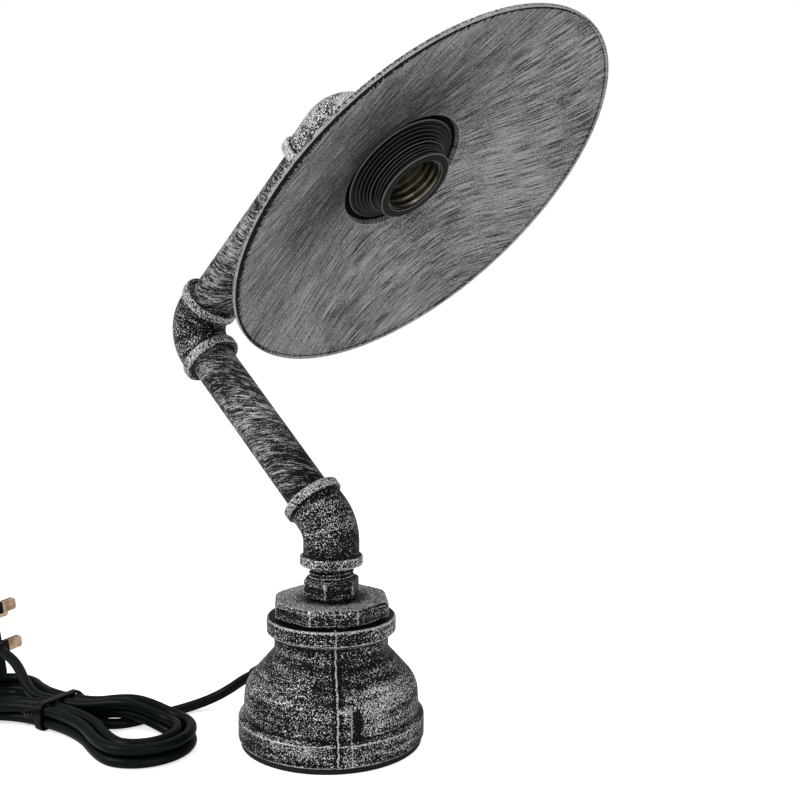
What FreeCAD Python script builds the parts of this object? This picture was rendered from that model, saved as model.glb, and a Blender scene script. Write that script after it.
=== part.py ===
import FreeCAD, Part
import math
import os

V = FreeCAD.Vector
os.makedirs("parts", exist_ok=True)

# Table lamp made of half inch pipe and malleable iron fittings.
# Millimetres, +Z up, origin at the centre of the foot, on the table.
# The lamp stands in the XZ plane: the lower pipe leans to -X, the upper pipe
# comes back to +X, and the shade looks down and out to +X.

# Half inch pipe and threads
pipe_radius = 21.3 / 2
pipe_bore_radius = 8.0
thread_gap = 0.1
swivel_gap = 0.08
thread_engagement = 10.5

# Elbows
elbow_barrel_radius = 13.1
elbow_band_radius = 14.7
elbow_band_width = 4.5
elbow_waterway_radius = 9.2
elbow_recess_radius = 12.5
elbow_recess_depth = 2.0
face_45 = 18.0
face_90 = 22.0
head_leg = 32.4
bend_radius_45 = 18.0
bend_radius_90 = 14.6

# Skeleton of the arm
swivel_height = 82.6
lean = math.radians(45)
lower_axis_length = 126.9
upper_axis_length = 140.4

# Foot: black pad and bell reducer
pad_radius = 42.3
pad_thickness = 2.5
bell_height = 59.0
bead_radius = 43.4
bead_top = 12.6
body_radius = 41.0
shoulder_radius = body_radius - 0.7
shoulder_height = 27.8
neck_radius = 26.6
neck_height = 43.2
top_band_radius = 30.1
top_band_bottom = 52.2
bell_wall = 3.9
foot_socket_radius = body_radius - 3.3
foot_socket_depth = 18.5
top_socket_depth = 12.5
seam_azimuth = -48.0
seam_height = 0.7
seam_width = 1.1
lug_azimuth = -43.6
lug_width = 5.4
lug_radius = 42.3
lug_top = 28.0

# Reducing bush and hex nipple
bush_thread_radius = 23.9
octagon_flats = 52.1
octagon_height = 7.0
octagon_azimuth = 17.9
bush_gap = 1.4
hex_flats = 23.6
hex_azimuth = -64.4
hex_height = 8.4
hex_gap = 0.8
nipple_bore_radius = 7.0

# Lampholder, measured along the shade axis from the head elbow's corner
holder_bush_flats = 21.2
holder_bush_height = 0.6
holder_bush_flange = 1.7
tube_radius = 5.0
tube_bore_radius = 3.6
cap_length = 14.75
cap_radius = 20.6
cap_wall = 1.8
skirt_radius = 17.9
skirt_wall = 2.9
mouth_station = 51.6
ring_radius = 27.0
ring_lip = 2.6
ring_gap = 0.1
shell_radius = 13.3
shell_wall = 0.4
stem_radius = 1.5
terminal_place = 7.4
shell_depth = 18.5
shell_base_radius = 12.0
shell_base_depth = 3.6

# Shade
shade_sheet = 0.9
shade_neck_radius = 31.0
shade_neck_depth = 4.4
shade_rim_radius = 96.4
shade_rim_station = 62.2
shade_hem = 1.9
shade_hem_sheet = 1.5

# Mains cord, hank and plug
cord_radius = 2.5
gland_height = 24.5
gland_length = 9.5
gland_droop = 28.0
gland_bend = 8.0
gland_radius = 4.2
gland_tip_radius = 3.4
hank_centre = V(-118.0, -64.0, 0.0)
hank_turn = 4.0
hank_pitch = 5.7
tie_sheet = 1.3
tie_width = 4.0
pin_spacing = 22.2
pin_length = 17.7
pin_sleeve_length = 9.5
earth_pin_length = 22.7
plug_yaw = 84.0
plug_draft = 8.0
plug_depth = 21.0
plug_half_width = 24.0
plug_cord_side = 14.0
plug_earth_side = 31.0
plug_place = V(-207.0, -40.0, 0.0)

x_axis = V(1, 0, 0)
y_axis = V(0, 1, 0)
z_axis = V(0, 0, 1)
origin = V(0, 0, 0)

# Skeleton points and directions
lower_way = V(-math.cos(lean), 0, math.sin(lean))
upper_way = V(math.cos(lean), 0, math.sin(lean))
shade_way = V(math.cos(lean), 0, -math.sin(lean))
foot_corner = V(0, 0, swivel_height + face_45)
middle_corner = foot_corner + lower_way * lower_axis_length
head_corner = middle_corner + upper_way * upper_axis_length


def save(name, shape):
    """Write one sub-part and say how it came out."""
    shape.exportStep("parts/" + name + ".step")
    state = "ok" if shape.isValid() and len(shape.Solids) > 0 else "BAD"
    print(name, state, len(shape.Solids), "solids", round(shape.Volume, 1), "mm3")


def rounded_wire(points):
    """A closed outline in the XZ plane from (radius, height, corner radius) points."""
    corners = []
    count = len(points)
    for i in range(count):
        here = V(points[i][0], 0, points[i][1])
        before = V(points[i - 1][0], 0, points[i - 1][1])
        after = V(points[(i + 1) % count][0], 0, points[(i + 1) % count][1])
        to_before = (before - here).normalize()
        to_after = (after - here).normalize()
        round_radius = points[i][2] if len(points[i]) > 2 else 0
        half = to_before.getAngle(to_after) / 2
        if round_radius == 0 or half > math.pi / 2 - 0.01:
            corners.append((here, here, here))
            continue
        tangent = round_radius / math.tan(half)
        middle = (to_before + to_after).normalize()
        mid = here + middle * (round_radius / math.sin(half) - round_radius)
        corners.append((here + to_before * tangent, mid, here + to_after * tangent))
    edges = []
    for i in range(count):
        start, mid, end = corners[i]
        if start.distanceToPoint(end) > 1e-6:
            edges.append(Part.Arc(start, mid, end).toShape())
        following = corners[(i + 1) % count][0]
        if end.distanceToPoint(following) > 1e-6:
            edges.append(Part.LineSegment(end, following).toShape())
    return Part.Wire(edges)


def place(shape, base, way):
    """Move a shape drawn about +Z so that its axis starts at base and runs along way."""
    shape = shape.copy()
    shape.Placement = FreeCAD.Placement(base, FreeCAD.Rotation(z_axis, way)).multiply(shape.Placement)
    return shape


def turned(points, base=origin, way=z_axis, start=0.0, sweep=360.0):
    """A solid of revolution from an outline of (radius, station, corner radius) points."""
    face = Part.Face(rounded_wire(points))
    face.rotate(origin, z_axis, start)
    return place(face.revolve(origin, z_axis, sweep), base, way)


def rod(radius, start, end):
    """A plain round bar between two points."""
    return Part.makeCylinder(radius, start.distanceToPoint(end), start, end - start)


def prism(sides, flats, height, azimuth):
    """A regular prism standing on the XY plane, given across its flats."""
    corner = flats / 2 / math.cos(math.pi / sides)
    points = []
    for i in range(sides + 1):
        angle = math.radians(azimuth) + 2 * math.pi * i / sides
        points.append(V(corner * math.cos(angle), corner * math.sin(angle), 0))
    return Part.Face(Part.makePolygon(points)).extrude(V(0, 0, height))


def nut(sides, flats, height, azimuth, chamfer_both=True):
    """A prism with its corners turned off at the top, or at both ends."""
    corner = flats / 2 / math.cos(math.pi / sides)
    drop = (corner - flats / 2 * 0.99) * math.tan(math.radians(30))
    top_radius = flats / 2 * 0.99
    low_radius = top_radius if chamfer_both else corner + 1
    low_height = drop if chamfer_both else 0.01
    barrel = turned([(0, 0), (low_radius, 0), (corner + 0.01, low_height),
                     (corner + 0.01, height - drop), (top_radius, height), (0, height)])
    return prism(sides, flats, height, azimuth).common(barrel)


def corner_arc(before, corner, after):
    """The arc that touches both legs of a corner at their outer ends."""
    leg_in = (before - corner).normalize()
    leg_out = (after - corner).normalize()
    half = leg_in.getAngle(leg_out) / 2
    tangent = before.distanceToPoint(corner)
    radius = tangent * math.tan(half)
    middle = (leg_in + leg_out).normalize()
    mid = corner + middle * (radius / math.sin(half) - radius)
    return Part.Arc(before, mid, after).toShape(), radius


def soft_route(points):
    """Straight runs joined by tangent arcs, each as large as its two runs allow."""
    edges = []
    radii = []
    last = points[0]
    for i in range(1, len(points) - 1):
        before = (points[i - 1] - points[i]).normalize()
        after = (points[i + 1] - points[i]).normalize()
        shorter = min(points[i].distanceToPoint(points[i - 1]), points[i].distanceToPoint(points[i + 1]))
        tangent = 0.45 * shorter
        arc, radius = corner_arc(points[i] + before * tangent, points[i], points[i] + after * tangent)
        radii.append(round(radius, 1))
        edges.append(Part.LineSegment(last, points[i] + before * tangent).toShape())
        edges.append(arc)
        last = points[i] + after * tangent
    edges.append(Part.LineSegment(last, points[-1]).toShape())
    return Part.Wire(edges), radii


def tube_on(wire, radius):
    """A round cord swept along a wire of lines and arcs."""
    first = wire.Edges[0]
    start = first.valueAt(first.FirstParameter)
    way = first.tangentAt(first.FirstParameter)
    ring = Part.Wire(Part.makeCircle(radius, start, way))
    return wire.makePipeShell([ring], True, False)


def check_tube(name, solid, wire, radius):
    """Compare a swept cord's volume with its section times its length."""
    expected = math.pi * radius * radius * wire.Length
    print(name, "length", round(wire.Length, 1), "volume ratio", round(solid.Volume / expected, 4))


# Foot pad and bell reducer
def make_foot_pad():
    return turned([(0, 0), (pad_radius, 0), (pad_radius, pad_thickness), (0, pad_thickness)])


def bell_outside(grow):
    """The bell's outer line from the foot up to the top band, grown outwards."""
    return [(bead_radius + grow, pad_thickness, 1.2), (bead_radius + grow, bead_top, 1.0),
            (body_radius + grow, bead_top + 1.8, 0.8), (shoulder_radius + grow, shoulder_height, 14.0),
            (neck_radius + grow, neck_height, 3.0), (neck_radius + grow, top_band_bottom - 2.2, 1.0),
            (top_band_radius + grow, top_band_bottom, 1.0)]


def make_bell():
    top_socket = bush_thread_radius + thread_gap
    inner_neck = top_socket - 1.8
    outline = bell_outside(0)
    outline += [(top_band_radius, bell_height, 1.0), (top_socket, bell_height),
                (top_socket, bell_height - top_socket_depth), (inner_neck, bell_height - top_socket_depth),
                (inner_neck, neck_height - 1.5), (shoulder_radius - bell_wall, shoulder_height + 0.7, 9.0),
                (shoulder_radius - bell_wall, foot_socket_depth + pad_thickness),
                (foot_socket_radius, foot_socket_depth + pad_thickness), (foot_socket_radius, pad_thickness)]
    bell = turned(outline)
    # Mould seams: a thin fin on each side, where the two halves of the mould met
    fin_angle = math.degrees(seam_width / bead_radius)
    inside = shoulder_radius - bell_wall / 2
    for azimuth in (seam_azimuth, seam_azimuth + 180):
        fin = bell_outside(seam_height)
        fin += [(top_band_radius + seam_height, bell_height - 1.0, 0.5), (top_socket + 1.2, bell_height - 1.0),
                (neck_radius - 1, neck_height - 1), (inside, shoulder_height - 3), (inside + 2, pad_thickness)]
        bell = bell.fuse(turned(fin, start=azimuth - fin_angle / 2, sweep=fin_angle))
    # Cast lug beside each seam, standing on the bottom bead
    lug_angle = math.degrees(lug_width / lug_radius)
    for azimuth in (lug_azimuth, lug_azimuth + 180):
        lug = [(inside, bead_top - 1), (lug_radius, bead_top - 1), (lug_radius, lug_top - 2.5, 1.0),
               (shoulder_radius - 0.6, lug_top, 0.5), (inside, lug_top)]
        bell = bell.fuse(turned(lug, start=azimuth - lug_angle / 2, sweep=lug_angle))
    hole = rod(gland_radius - 0.6 + thread_gap, V(-bead_radius, 0, gland_height), V(-20, 0, gland_height))
    return bell.cut(hole).removeSplitter()


# Reducing bush with its octagon, and the hex nipple
octagon_bottom = bell_height + bush_gap
octagon_top = octagon_bottom + octagon_height
bush_bottom = bell_height - top_socket_depth + 0.5
hex_bottom = octagon_top + hex_gap
hex_top = hex_bottom + hex_height
nipple_bottom = octagon_top - thread_engagement
nipple_top = swivel_height + thread_engagement


def make_bush():
    head = nut(8, octagon_flats, octagon_height, octagon_azimuth, chamfer_both=False)
    head.translate(V(0, 0, octagon_bottom))
    shank = turned([(0, bush_bottom), (bush_thread_radius, bush_bottom, 0.8),
                    (bush_thread_radius, octagon_bottom), (0, octagon_bottom)])
    bush = head.fuse(shank)
    hollow = turned([(0, bush_bottom - 1), (16.2, bush_bottom - 1), (15.4, nipple_bottom - 4, 2.0),
                     (pipe_radius + thread_gap, nipple_bottom - 1),
                     (pipe_radius + thread_gap, octagon_top - 0.8), (pipe_radius + 1.2, octagon_top + 0.1),
                     (0, octagon_top + 0.1)])
    bush = bush.cut(hollow)
    screw_hole = rod(earth_screw_radius, V(0, earth_screw_place, bush_bottom - 1),
                     V(0, earth_screw_place, bush_bottom + earth_screw_length))
    return bush.cut(screw_hole).removeSplitter()


def make_nipple():
    body = nut(6, hex_flats, hex_height, hex_azimuth)
    body.translate(V(0, 0, hex_bottom))
    lower = turned([(0, nipple_bottom), (pipe_radius, nipple_bottom, 0.8), (pipe_radius, hex_bottom), (0, hex_bottom)])
    upper = turned([(0, hex_top), (pipe_radius, hex_top), (pipe_radius, nipple_top, 0.8), (0, nipple_top)])
    bore = rod(nipple_bore_radius, V(0, 0, nipple_bottom - 1), V(0, 0, nipple_top + 1))
    return body.fuse([lower, upper]).cut(bore).removeSplitter()


# Elbows and pipes
def elbow(corner, in_way, out_way, face_in, face_out, bend_radius):
    """A banded elbow. in_way points out of the mouth that turns, out_way out of the tight one."""
    centre_line, radii = routed([(corner + in_way * face_in, 0), (corner, bend_radius), (corner + out_way * face_out, 0)])
    body = tube_on(centre_line, elbow_barrel_radius)
    hollow = tube_on(centre_line, elbow_waterway_radius)
    for way, face, gap in ((in_way, face_in, swivel_gap), (out_way, face_out, thread_gap)):
        band_start = face - elbow_band_width
        socket = pipe_radius + gap
        band = turned([(socket + 1, band_start), (elbow_band_radius, band_start, 1.2), (elbow_band_radius, face, 1.4),
                       (socket + 1, face)], corner, way)
        body = body.fuse(band)
        socket_space = turned([(0, face - thread_engagement - 1.2), (elbow_waterway_radius - 1, face - thread_engagement - 1.2),
                               (socket, face - thread_engagement - 0.6), (socket, face - elbow_recess_depth),
                               (elbow_recess_radius, face - elbow_recess_depth + 0.8),
                               (elbow_recess_radius, face + 0.5), (0, face + 0.5)], corner, way)
        hollow = hollow.fuse(socket_space)
    return body.cut(hollow)


def pipe(start, end):
    """A length of pipe between two elbow corners' sockets."""
    return rod(pipe_radius, start, end).cut(rod(pipe_bore_radius, start, end))


lower_pipe_start = foot_corner + lower_way * (face_45 - thread_engagement)
lower_pipe_end = middle_corner - lower_way * (face_90 - thread_engagement)
upper_pipe_start = middle_corner + upper_way * (face_90 - thread_engagement)
upper_pipe_end = head_corner - upper_way * (head_leg - thread_engagement)


# Lampholder
bush_top = face_90 + holder_bush_height
cap_start = bush_top + 0.1
shoulder_station = cap_start + cap_length
shade_station = shoulder_station + 0.05
ring_station = shade_station + shade_sheet + 0.05
shell_start = mouth_station - 0.8 - shell_depth
insert_back = cap_start + 4.5
insert_front = shell_start - 0.05


def make_holder_bush():
    flange = nut(6, holder_bush_flats, holder_bush_flange, 30)
    flange.translate(V(0, 0, bush_top - holder_bush_flange))
    plug_end = turned([(0, face_90 - 9), (pipe_radius, face_90 - 9, 0.8), (pipe_radius, face_90 - 1), (0, face_90 - 1)])
    bore = rod(tube_radius + thread_gap, V(0, 0, face_90 - 10), V(0, 0, bush_top + 1))
    return place(flange.fuse(plug_end).cut(bore).removeSplitter(), head_corner, shade_way)


def make_threaded_tube():
    end = insert_back - 1.1
    start = face_90 - 10.5
    return turned([(tube_bore_radius, start), (tube_radius, start, 0.4), (tube_radius, end, 0.4),
                   (tube_bore_radius, end)], head_corner, shade_way)


def make_tube_nut():
    """Thin hex nut that locks the threaded tube behind the reducing bush."""
    height = 1.4
    shape = nut(6, 13.0, height, 0)
    shape = shape.cut(rod(tube_radius + thread_gap, V(0, 0, -1), V(0, 0, height + 1)))
    shape.translate(V(0, 0, face_90 - 9 - height - 0.05))
    return place(shape, head_corner, shade_way)


def make_holder_cap():
    collar = tube_radius + 3.4
    end = shoulder_station
    inner = skirt_radius + thread_gap
    outline = [(tube_radius + thread_gap, cap_start), (collar, cap_start, 0.8), (collar + 0.6, cap_start + 2.6, 1.5),
               (cap_radius - 3.2, cap_start + 5.4, 4.0), (cap_radius - 1.6, end - 3.2, 0.8),
               (cap_radius, end - 2.4, 0.6), (cap_radius, end, 0.5), (inner, end),
               (inner, cap_start + 8.6), (skirt_radius - 2.4, cap_start + 7.2, 3.0), (collar, cap_start + 3.8, 1.0),
               (tube_radius + thread_gap, cap_start + 3.8)]
    return turned(outline, head_corner, shade_way)


def make_holder_skirt():
    """Threaded front of the lampholder, which the shade ring screws on."""
    back = cap_start + 8.9
    bore = shell_radius + shell_wall + 0.1
    outline = [(bore, back), (skirt_radius, back, 0.4), (skirt_radius, mouth_station, 0.7),
               (bore, mouth_station, 0.4)]
    return turned(outline, head_corner, shade_way)


def make_screw_shell():
    """Screw shell that grips the lamp cap, open at the mouth."""
    outer = shell_radius + shell_wall
    base = shell_base_radius
    grip_start = shell_start + shell_base_depth
    outline = [(4.6, shell_start), (base + shell_wall, shell_start, 0.6), (base + shell_wall, grip_start - shell_wall),
               (outer, grip_start - shell_wall), (outer, mouth_station - 0.8, 0.1),
               (shell_radius, mouth_station - 0.8, 0.1), (shell_radius, grip_start), (base, grip_start),
               (base, shell_start + shell_wall, 0.3), (4.6, shell_start + shell_wall)]
    return turned(outline, head_corner, shade_way)


def make_holder_insert():
    """Moulded block behind the screw shell that carries the contacts."""
    outer = shell_radius + 0.2
    outline = [(stem_radius + 0.05, insert_back), (8.6, insert_back, 0.5), (outer - 0.4, insert_back + 3.2, 0.5),
               (outer, insert_back + 4.3), (outer, insert_front), (stem_radius + 0.05, insert_front)]
    block = turned(outline, head_corner, shade_way)
    for side in (-1, 1):
        centre = head_corner + y_axis * (side * terminal_place)
        block = block.cut(rod(1.75, centre + shade_way * (insert_back - 1), centre + shade_way * (insert_front + 1)))
    return block


def make_terminal_screws():
    """Two screws that clamp the cores, sunk in the moulded block."""
    screws = []
    for side in (-1, 1):
        centre = head_corner + y_axis * (side * terminal_place)
        head = centre + shade_way * (insert_back + 0.3)
        shank = rod(1.7, head, centre + shade_way * (insert_front - 0.5))
        slot = Part.makeBox(0.5, 4, 0.7, V(-0.25, -2, 0))
        screws.append(shank.cut(place(slot, head, shade_way)))
    return Part.makeCompound(screws)


def make_centre_contact():
    """Sprung tongue that meets the tip of the lamp cap, with its stem through the block."""
    start = shell_start + shell_wall
    stem = rod(stem_radius, head_corner + shade_way * insert_back, head_corner + shade_way * (start + 1.0))
    tongue = turned([(0, start + 0.9), (3.6, start + 0.9, 0.3), (3.6, start + 1.5, 0.3), (1.2, start + 2.4, 0.4),
                     (0, start + 2.4)], head_corner, shade_way)
    return stem.fuse(tongue).removeSplitter()


def make_shade_ring():
    """Flanged ring nut that clamps the shade against the cap."""
    back = ring_station
    bore = skirt_radius + ring_gap
    outline = [(bore, back), (ring_radius, back, 0.4), (ring_radius, back + ring_lip, 0.8),
               (ring_radius - 1.6, back + ring_lip, 0.4), (bore + 3.0, back + ring_lip + 1.8, 3.0),
               (bore + 1.5, back + ring_lip + 4.6, 0.5), (bore, back + ring_lip + 4.6)]
    return turned(outline, head_corner, shade_way)


# Shade
def make_shade():
    """Spun sheet: flat seat, short neck wall, shallow cone and a turned hem."""
    seat = shade_station
    neck_front = seat + shade_neck_depth
    rim = shade_rim_station
    hem_back = rim - shade_hem
    slope = math.atan2(hem_back - neck_front, shade_rim_radius - shade_neck_radius)
    lift = shade_sheet / math.cos(slope)
    outline = [(skirt_radius + 0.5, seat), (shade_neck_radius - 1.2, seat, 2.2),
               (shade_neck_radius + 0.2, neck_front - 0.4, 1.4), (shade_rim_radius, hem_back, 0.8),
               (shade_rim_radius, rim, 0.6), (shade_rim_radius - shade_hem_sheet, rim, 0.5),
               (shade_rim_radius - shade_hem_sheet, hem_back + lift, 0.4),
               (shade_neck_radius - 0.6, neck_front - 0.4 + lift, 0.8),
               (shade_neck_radius - 1.2 - shade_sheet, seat + shade_sheet, 1.3), (skirt_radius + 0.5, seat + shade_sheet)]
    return turned(outline, head_corner, shade_way)


# Cord gland: a flange inside the wall, a neck in the hole and a drooping nose outside
gland_inner = -(shoulder_radius - bell_wall) + 1.9
gland_outer = -(body_radius - 0.3)
gland_root = V(gland_outer, 0, gland_height)
nose_way = V(-math.cos(math.radians(gland_droop)), 0, -math.sin(math.radians(gland_droop)))
gland_tip = gland_root + nose_way * gland_length


def make_gland():
    """Soft sleeve that sits in the drilled hole and stops the cord from chafing."""
    neck = gland_radius - 0.6
    inside = V(gland_inner + 2.0, 0, gland_height)
    through = inside.distanceToPoint(gland_root) + 1.8
    body = turned([(0, 0), (gland_radius + 0.8, 0, 0.4), (gland_radius + 0.8, 2.0, 0.4), (neck, 2.0),
                   (neck, through), (0, through)], inside, x_axis * -1)
    collar = turned([(0, 0), (gland_radius, 0), (gland_radius, 1.9, 0.4), (0, 1.9)], gland_root, x_axis * -1)
    nose = turned([(0, 0), (gland_radius - 0.1, 0), (gland_radius - 0.1, 1.4), (gland_tip_radius, gland_length - 0.5, 0.4),
                   (gland_tip_radius, gland_length, 0.4), (0, gland_length)], gland_root, nose_way)
    outside = collar.fuse(nose).cut(Part.makeCylinder(body_radius + 0.1, 40))
    return body.fuse(outside).cut(tube_on(routed(foot_route())[0], cord_radius)).removeSplitter()


# Cord inside the lamp, cut where the joints turn
flex_bend = 20.0
flex_head_bend = 13.5
flex_foot_bend = 16.0


def inner_flex(points):
    wire, radii = routed(points)
    return tube_on(wire, cord_radius)


def routed(points):
    """Lines and arcs through corners given as (point, bend radius)."""
    edges = []
    last = points[0][0]
    radii = []
    for i in range(1, len(points) - 1):
        here = points[i][0]
        before = (points[i - 1][0] - here).normalize()
        after = (points[i + 1][0] - here).normalize()
        tangent = points[i][1] / math.tan(before.getAngle(after) / 2)
        arc, radius = corner_arc(here + before * tangent, here, here + after * tangent)
        edges.append(Part.LineSegment(last, here + before * tangent).toShape())
        edges.append(arc)
        radii.append(radius)
        last = here + after * tangent
    edges.append(Part.LineSegment(last, points[-1][0]).toShape())
    return Part.Wire(edges), radii


flex_foot_end = V(0, 0, nipple_top)
flex_lower_end = lower_pipe_end - lower_way * 12.0
flex_upper_end = upper_pipe_end - upper_way * 12.0
flex_head_end = head_corner + shade_way * (insert_back - 0.6)


def foot_route():
    return [(gland_tip, 0), (gland_root, gland_bend), (V(0, 0, gland_height), 22.0), (flex_foot_end, 0)]


def make_flex_foot():
    return inner_flex(foot_route())


def make_flex_lower():
    return inner_flex([(flex_foot_end, 0), (foot_corner, flex_foot_bend), (flex_lower_end, 0)])


def make_flex_upper():
    return inner_flex([(flex_lower_end, 0), (middle_corner, flex_bend), (flex_upper_end, 0)])


def make_flex_head():
    return inner_flex([(flex_upper_end, 0), (head_corner, flex_head_bend), (flex_head_end, 0)])


# Earth terminal under the reducing bush
earth_screw_radius = 1.5
earth_screw_place = 19.0
earth_screw_length = 6.0
earth_tag_sheet = 0.8
earth_place = V(0, earth_screw_place, bush_bottom)


def make_earth_tag():
    """Ring tag with a barrel for the earth core."""
    ring = Part.makeCylinder(3.0, earth_tag_sheet, V(0, 0, -earth_tag_sheet))
    ring = ring.cut(Part.makeCylinder(earth_screw_radius + 0.1, 4, V(0, 0, -2)))
    strap = Part.makeBox(2.4, 4.0, earth_tag_sheet, V(-1.2, -6.2, -earth_tag_sheet))
    strap = strap.cut(Part.makeCylinder(2.0, 4, V(0, 0, -2)))
    barrel = rod(1.6, V(0, -6.0, -1.6), V(0, -11.0, -1.6)).cut(rod(1.0, V(0, -5.0, -1.6), V(0, -12.0, -1.6)))
    tag = ring.fuse([strap, barrel]).removeSplitter()
    tag.translate(earth_place + V(0, 0, -0.02))
    return tag


def make_earth_screw():
    """Pan head screw that holds the tag to the iron."""
    head = turned([(0, -2.0), (1.8, -2.0, 0.4), (2.9, -1.2, 0.8), (2.9, 0), (0, 0)])
    head = head.cut(Part.makeBox(7, 0.7, 0.9, V(-3.5, -0.35, -2.1)))
    head.translate(V(0, 0, -earth_tag_sheet - 0.05))
    shank = Part.makeCylinder(earth_screw_radius - 0.05, earth_screw_length + earth_tag_sheet - 0.5,
                              V(0, 0, -earth_tag_sheet - 0.05))
    screw = head.fuse(shank).removeSplitter()
    screw.translate(earth_place)
    return screw


def make_earth_wire():
    """Earth core from the cord to the tag."""
    start = V(0, earth_screw_place - 7.0, bush_bottom - 1.62)
    points = [(start, 0), (start + V(0, -5.4, 0), 3.5), (V(-1.6, 3.0, 37.5), 5.0), (V(-5.0, 1.4, 33.0), 0)]
    wire, radii = routed(points)
    return tube_on(wire, 0.95)


# Hank: loops lie over each other like a bow, tied at the waist
hank_loops = 4
hank_straight = 8.0
hank_heading = math.radians(hank_turn)
hank_u = V(math.cos(hank_heading), math.sin(hank_heading), 0)
hank_v = V(-math.sin(hank_heading), math.cos(hank_heading), 0)
hank_back = hank_u * -1
waist_height = cord_radius + tie_sheet + 0.2
left_reach = 56.0
left_curve = 13.5
right_reach = 71.0
right_curve = 16.0
reach_step = 6.6
curve_step = 5.9
lead_crossing = 35.0
lead_clearance = 0.9
crossing_height = cord_radius * 3 + lead_clearance


def hank_point(u, v, z):
    """A point of the hank from its own length, width and height."""
    return hank_centre + hank_u * u + hank_v * v + z_axis * z


def biarc(start, start_way, end, end_way, first=None):
    """Two arcs that leave start and reach end along the given ways, without a kink."""
    gap = end - start
    if first is None:
        a = 2 * (1 - start_way.dot(end_way))
        b = 2 * gap.dot(start_way + end_way)
        c = -gap.dot(gap)
        first = -c / b if a < 1e-9 else (-b + math.sqrt(b * b - 4 * a * c)) / (2 * a)
        second = first
    else:
        below = 2 * gap.dot(end_way) - 2 * first * (start_way.dot(end_way) - 1)
        second = (gap.dot(gap) - 2 * first * gap.dot(start_way)) / below
    in_corner = start + start_way * first
    out_corner = end - end_way * second
    joint = (in_corner * second + out_corner * first) * (1 / (first + second))
    return [(start, in_corner, joint), (joint, out_corner, end)]


def lobe_shape(waist, reach, curve):
    """Planar quarter of a lobe: neck arc radius, its turn, and its tangent length."""
    neck = ((reach - curve) ** 2 + waist ** 2 - curve ** 2) / (2 * (curve - waist))
    turn = math.asin((reach - curve) / (neck + curve))
    return neck, turn, neck * math.tan(turn / 2)


def waist_offset(number):
    """Signed place of a crossing of the waist: alternate sides, outwards and back again."""
    count = 2 * hank_loops
    nest = min((number + 0) // 2, (count - number) // 2)
    if number % 2 == 0:
        return (nest + 0.5) * hank_pitch
    return -(nest + 0.5) * hank_pitch


def quarter(side, waist, waist_z, reach, curve, lobe_z, outward, hump):
    """Arcs of one quarter turn, from the waist to the lobe's end or back."""
    width = abs(waist)
    sign = 1 if waist > 0 else -1
    neck, turn, tangent = lobe_shape(width, reach, curve)
    knot = hank_point(0, waist, waist_z)
    tip = hank_point(side * reach, 0, lobe_z)
    leave = hank_u * side
    arrive = hank_v * -sign
    if hump:
        slope = math.asin(lead_crossing / neck)
        over = hank_point(side * lead_crossing, sign * (width + neck * (1 - math.cos(slope))), hump)
        way = hank_u * (side * math.cos(slope)) + hank_v * (sign * math.sin(slope))
        rest = neck * math.tan((turn - slope) / 2)
        arcs = biarc(knot, leave, over, way) + biarc(over, way, tip, arrive, rest)
    else:
        arcs = biarc(knot, leave, tip, arrive, tangent)
    if outward:
        return arcs
    return [(end, corner, start) for start, corner, end in reversed(arcs)]


def hank_route():
    """Every run and arc of the hank, from the lamp's side to the plug's side."""
    halves = 2 * hank_loops
    climb_at = hank_loops
    start_z = waist_height
    top = waist_offset(0)
    arcs = []
    begin = hank_point(hank_straight, top, start_z)
    for number in range(halves):
        side = -1 if number % 2 == 0 else 1
        nest = min(number // 2, (halves - number) // 2)
        reach = left_reach if side < 0 else right_reach
        curve = left_curve if side < 0 else right_curve
        reach = reach + nest * reach_step
        curve = curve + nest * curve_step
        before = hank_pitch if number > climb_at else 0
        after = hank_pitch if number >= climb_at else 0
        lobe = cord_radius + (before + after) / 2
        hump_out = 0
        hump_in = crossing_height + after if side > 0 else 0
        arcs += quarter(side, waist_offset(number), waist_height + before, reach, curve, lobe, True, hump_out)
        arcs += quarter(side, waist_offset(number + 1), waist_height + after, reach, curve, lobe, False, hump_in)
    finish = hank_point(-hank_straight, waist_offset(halves), waist_height + hank_pitch)
    return begin, arcs, finish


def arc_radius(before, corner, after):
    half = (before - corner).getAngle(after - corner) / 2
    return before.distanceToPoint(corner) * math.tan(half)


def make_hank():
    begin, arcs, finish = hank_route()
    edges = [Part.LineSegment(begin, arcs[0][0]).toShape()]
    radii = []
    for before, corner, after in arcs:
        radii.append(round(arc_radius(before, corner, after), 1))
        if (before - corner).getAngle(after - corner) > math.pi - 0.002:
            edges.append(Part.LineSegment(before, after).toShape())
        else:
            edges.append(corner_arc(before, corner, after)[0])
    edges.append(Part.LineSegment(arcs[-1][2], finish).toShape())
    wire = Part.Wire(edges)
    solid = tube_on(wire, cord_radius)
    print("hank smallest bend", min(radii), "least gap", round(least_gap(wire) - 2 * cord_radius, 2))
    check_tube("hank", solid, wire, cord_radius)
    return solid, begin, finish


def least_gap(wire):
    """Smallest distance between parts of the route that are not neighbours."""
    step = 2.5
    points = wire.discretize(Distance=step)
    apart = int(10 * cord_radius / step)
    least = 1e9
    for i in range(len(points)):
        for j in range(i + apart, len(points)):
            d = points[i].distanceToPoint(points[j])
            least = min(least, d)
    return least


# Lead from the gland to the hank: it sinks to the table and runs under the near lobe
def lead_points(end):
    ways = [nose_way * 6.5, V(-7.1, -2.2, -5.8), V(-7.7, -4.8, -5.3), V(-7.4, -8.0, 0), V(-4.8, -19.0, 0), V(-5.7, -17.8, 0)]
    points = [gland_tip]
    for way in ways:
        points.append(points[-1] + way)
    for point in points[4:]:
        point.z = cord_radius
    points.append(end + hank_u * 12.5)
    points.append(end)
    return points


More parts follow.
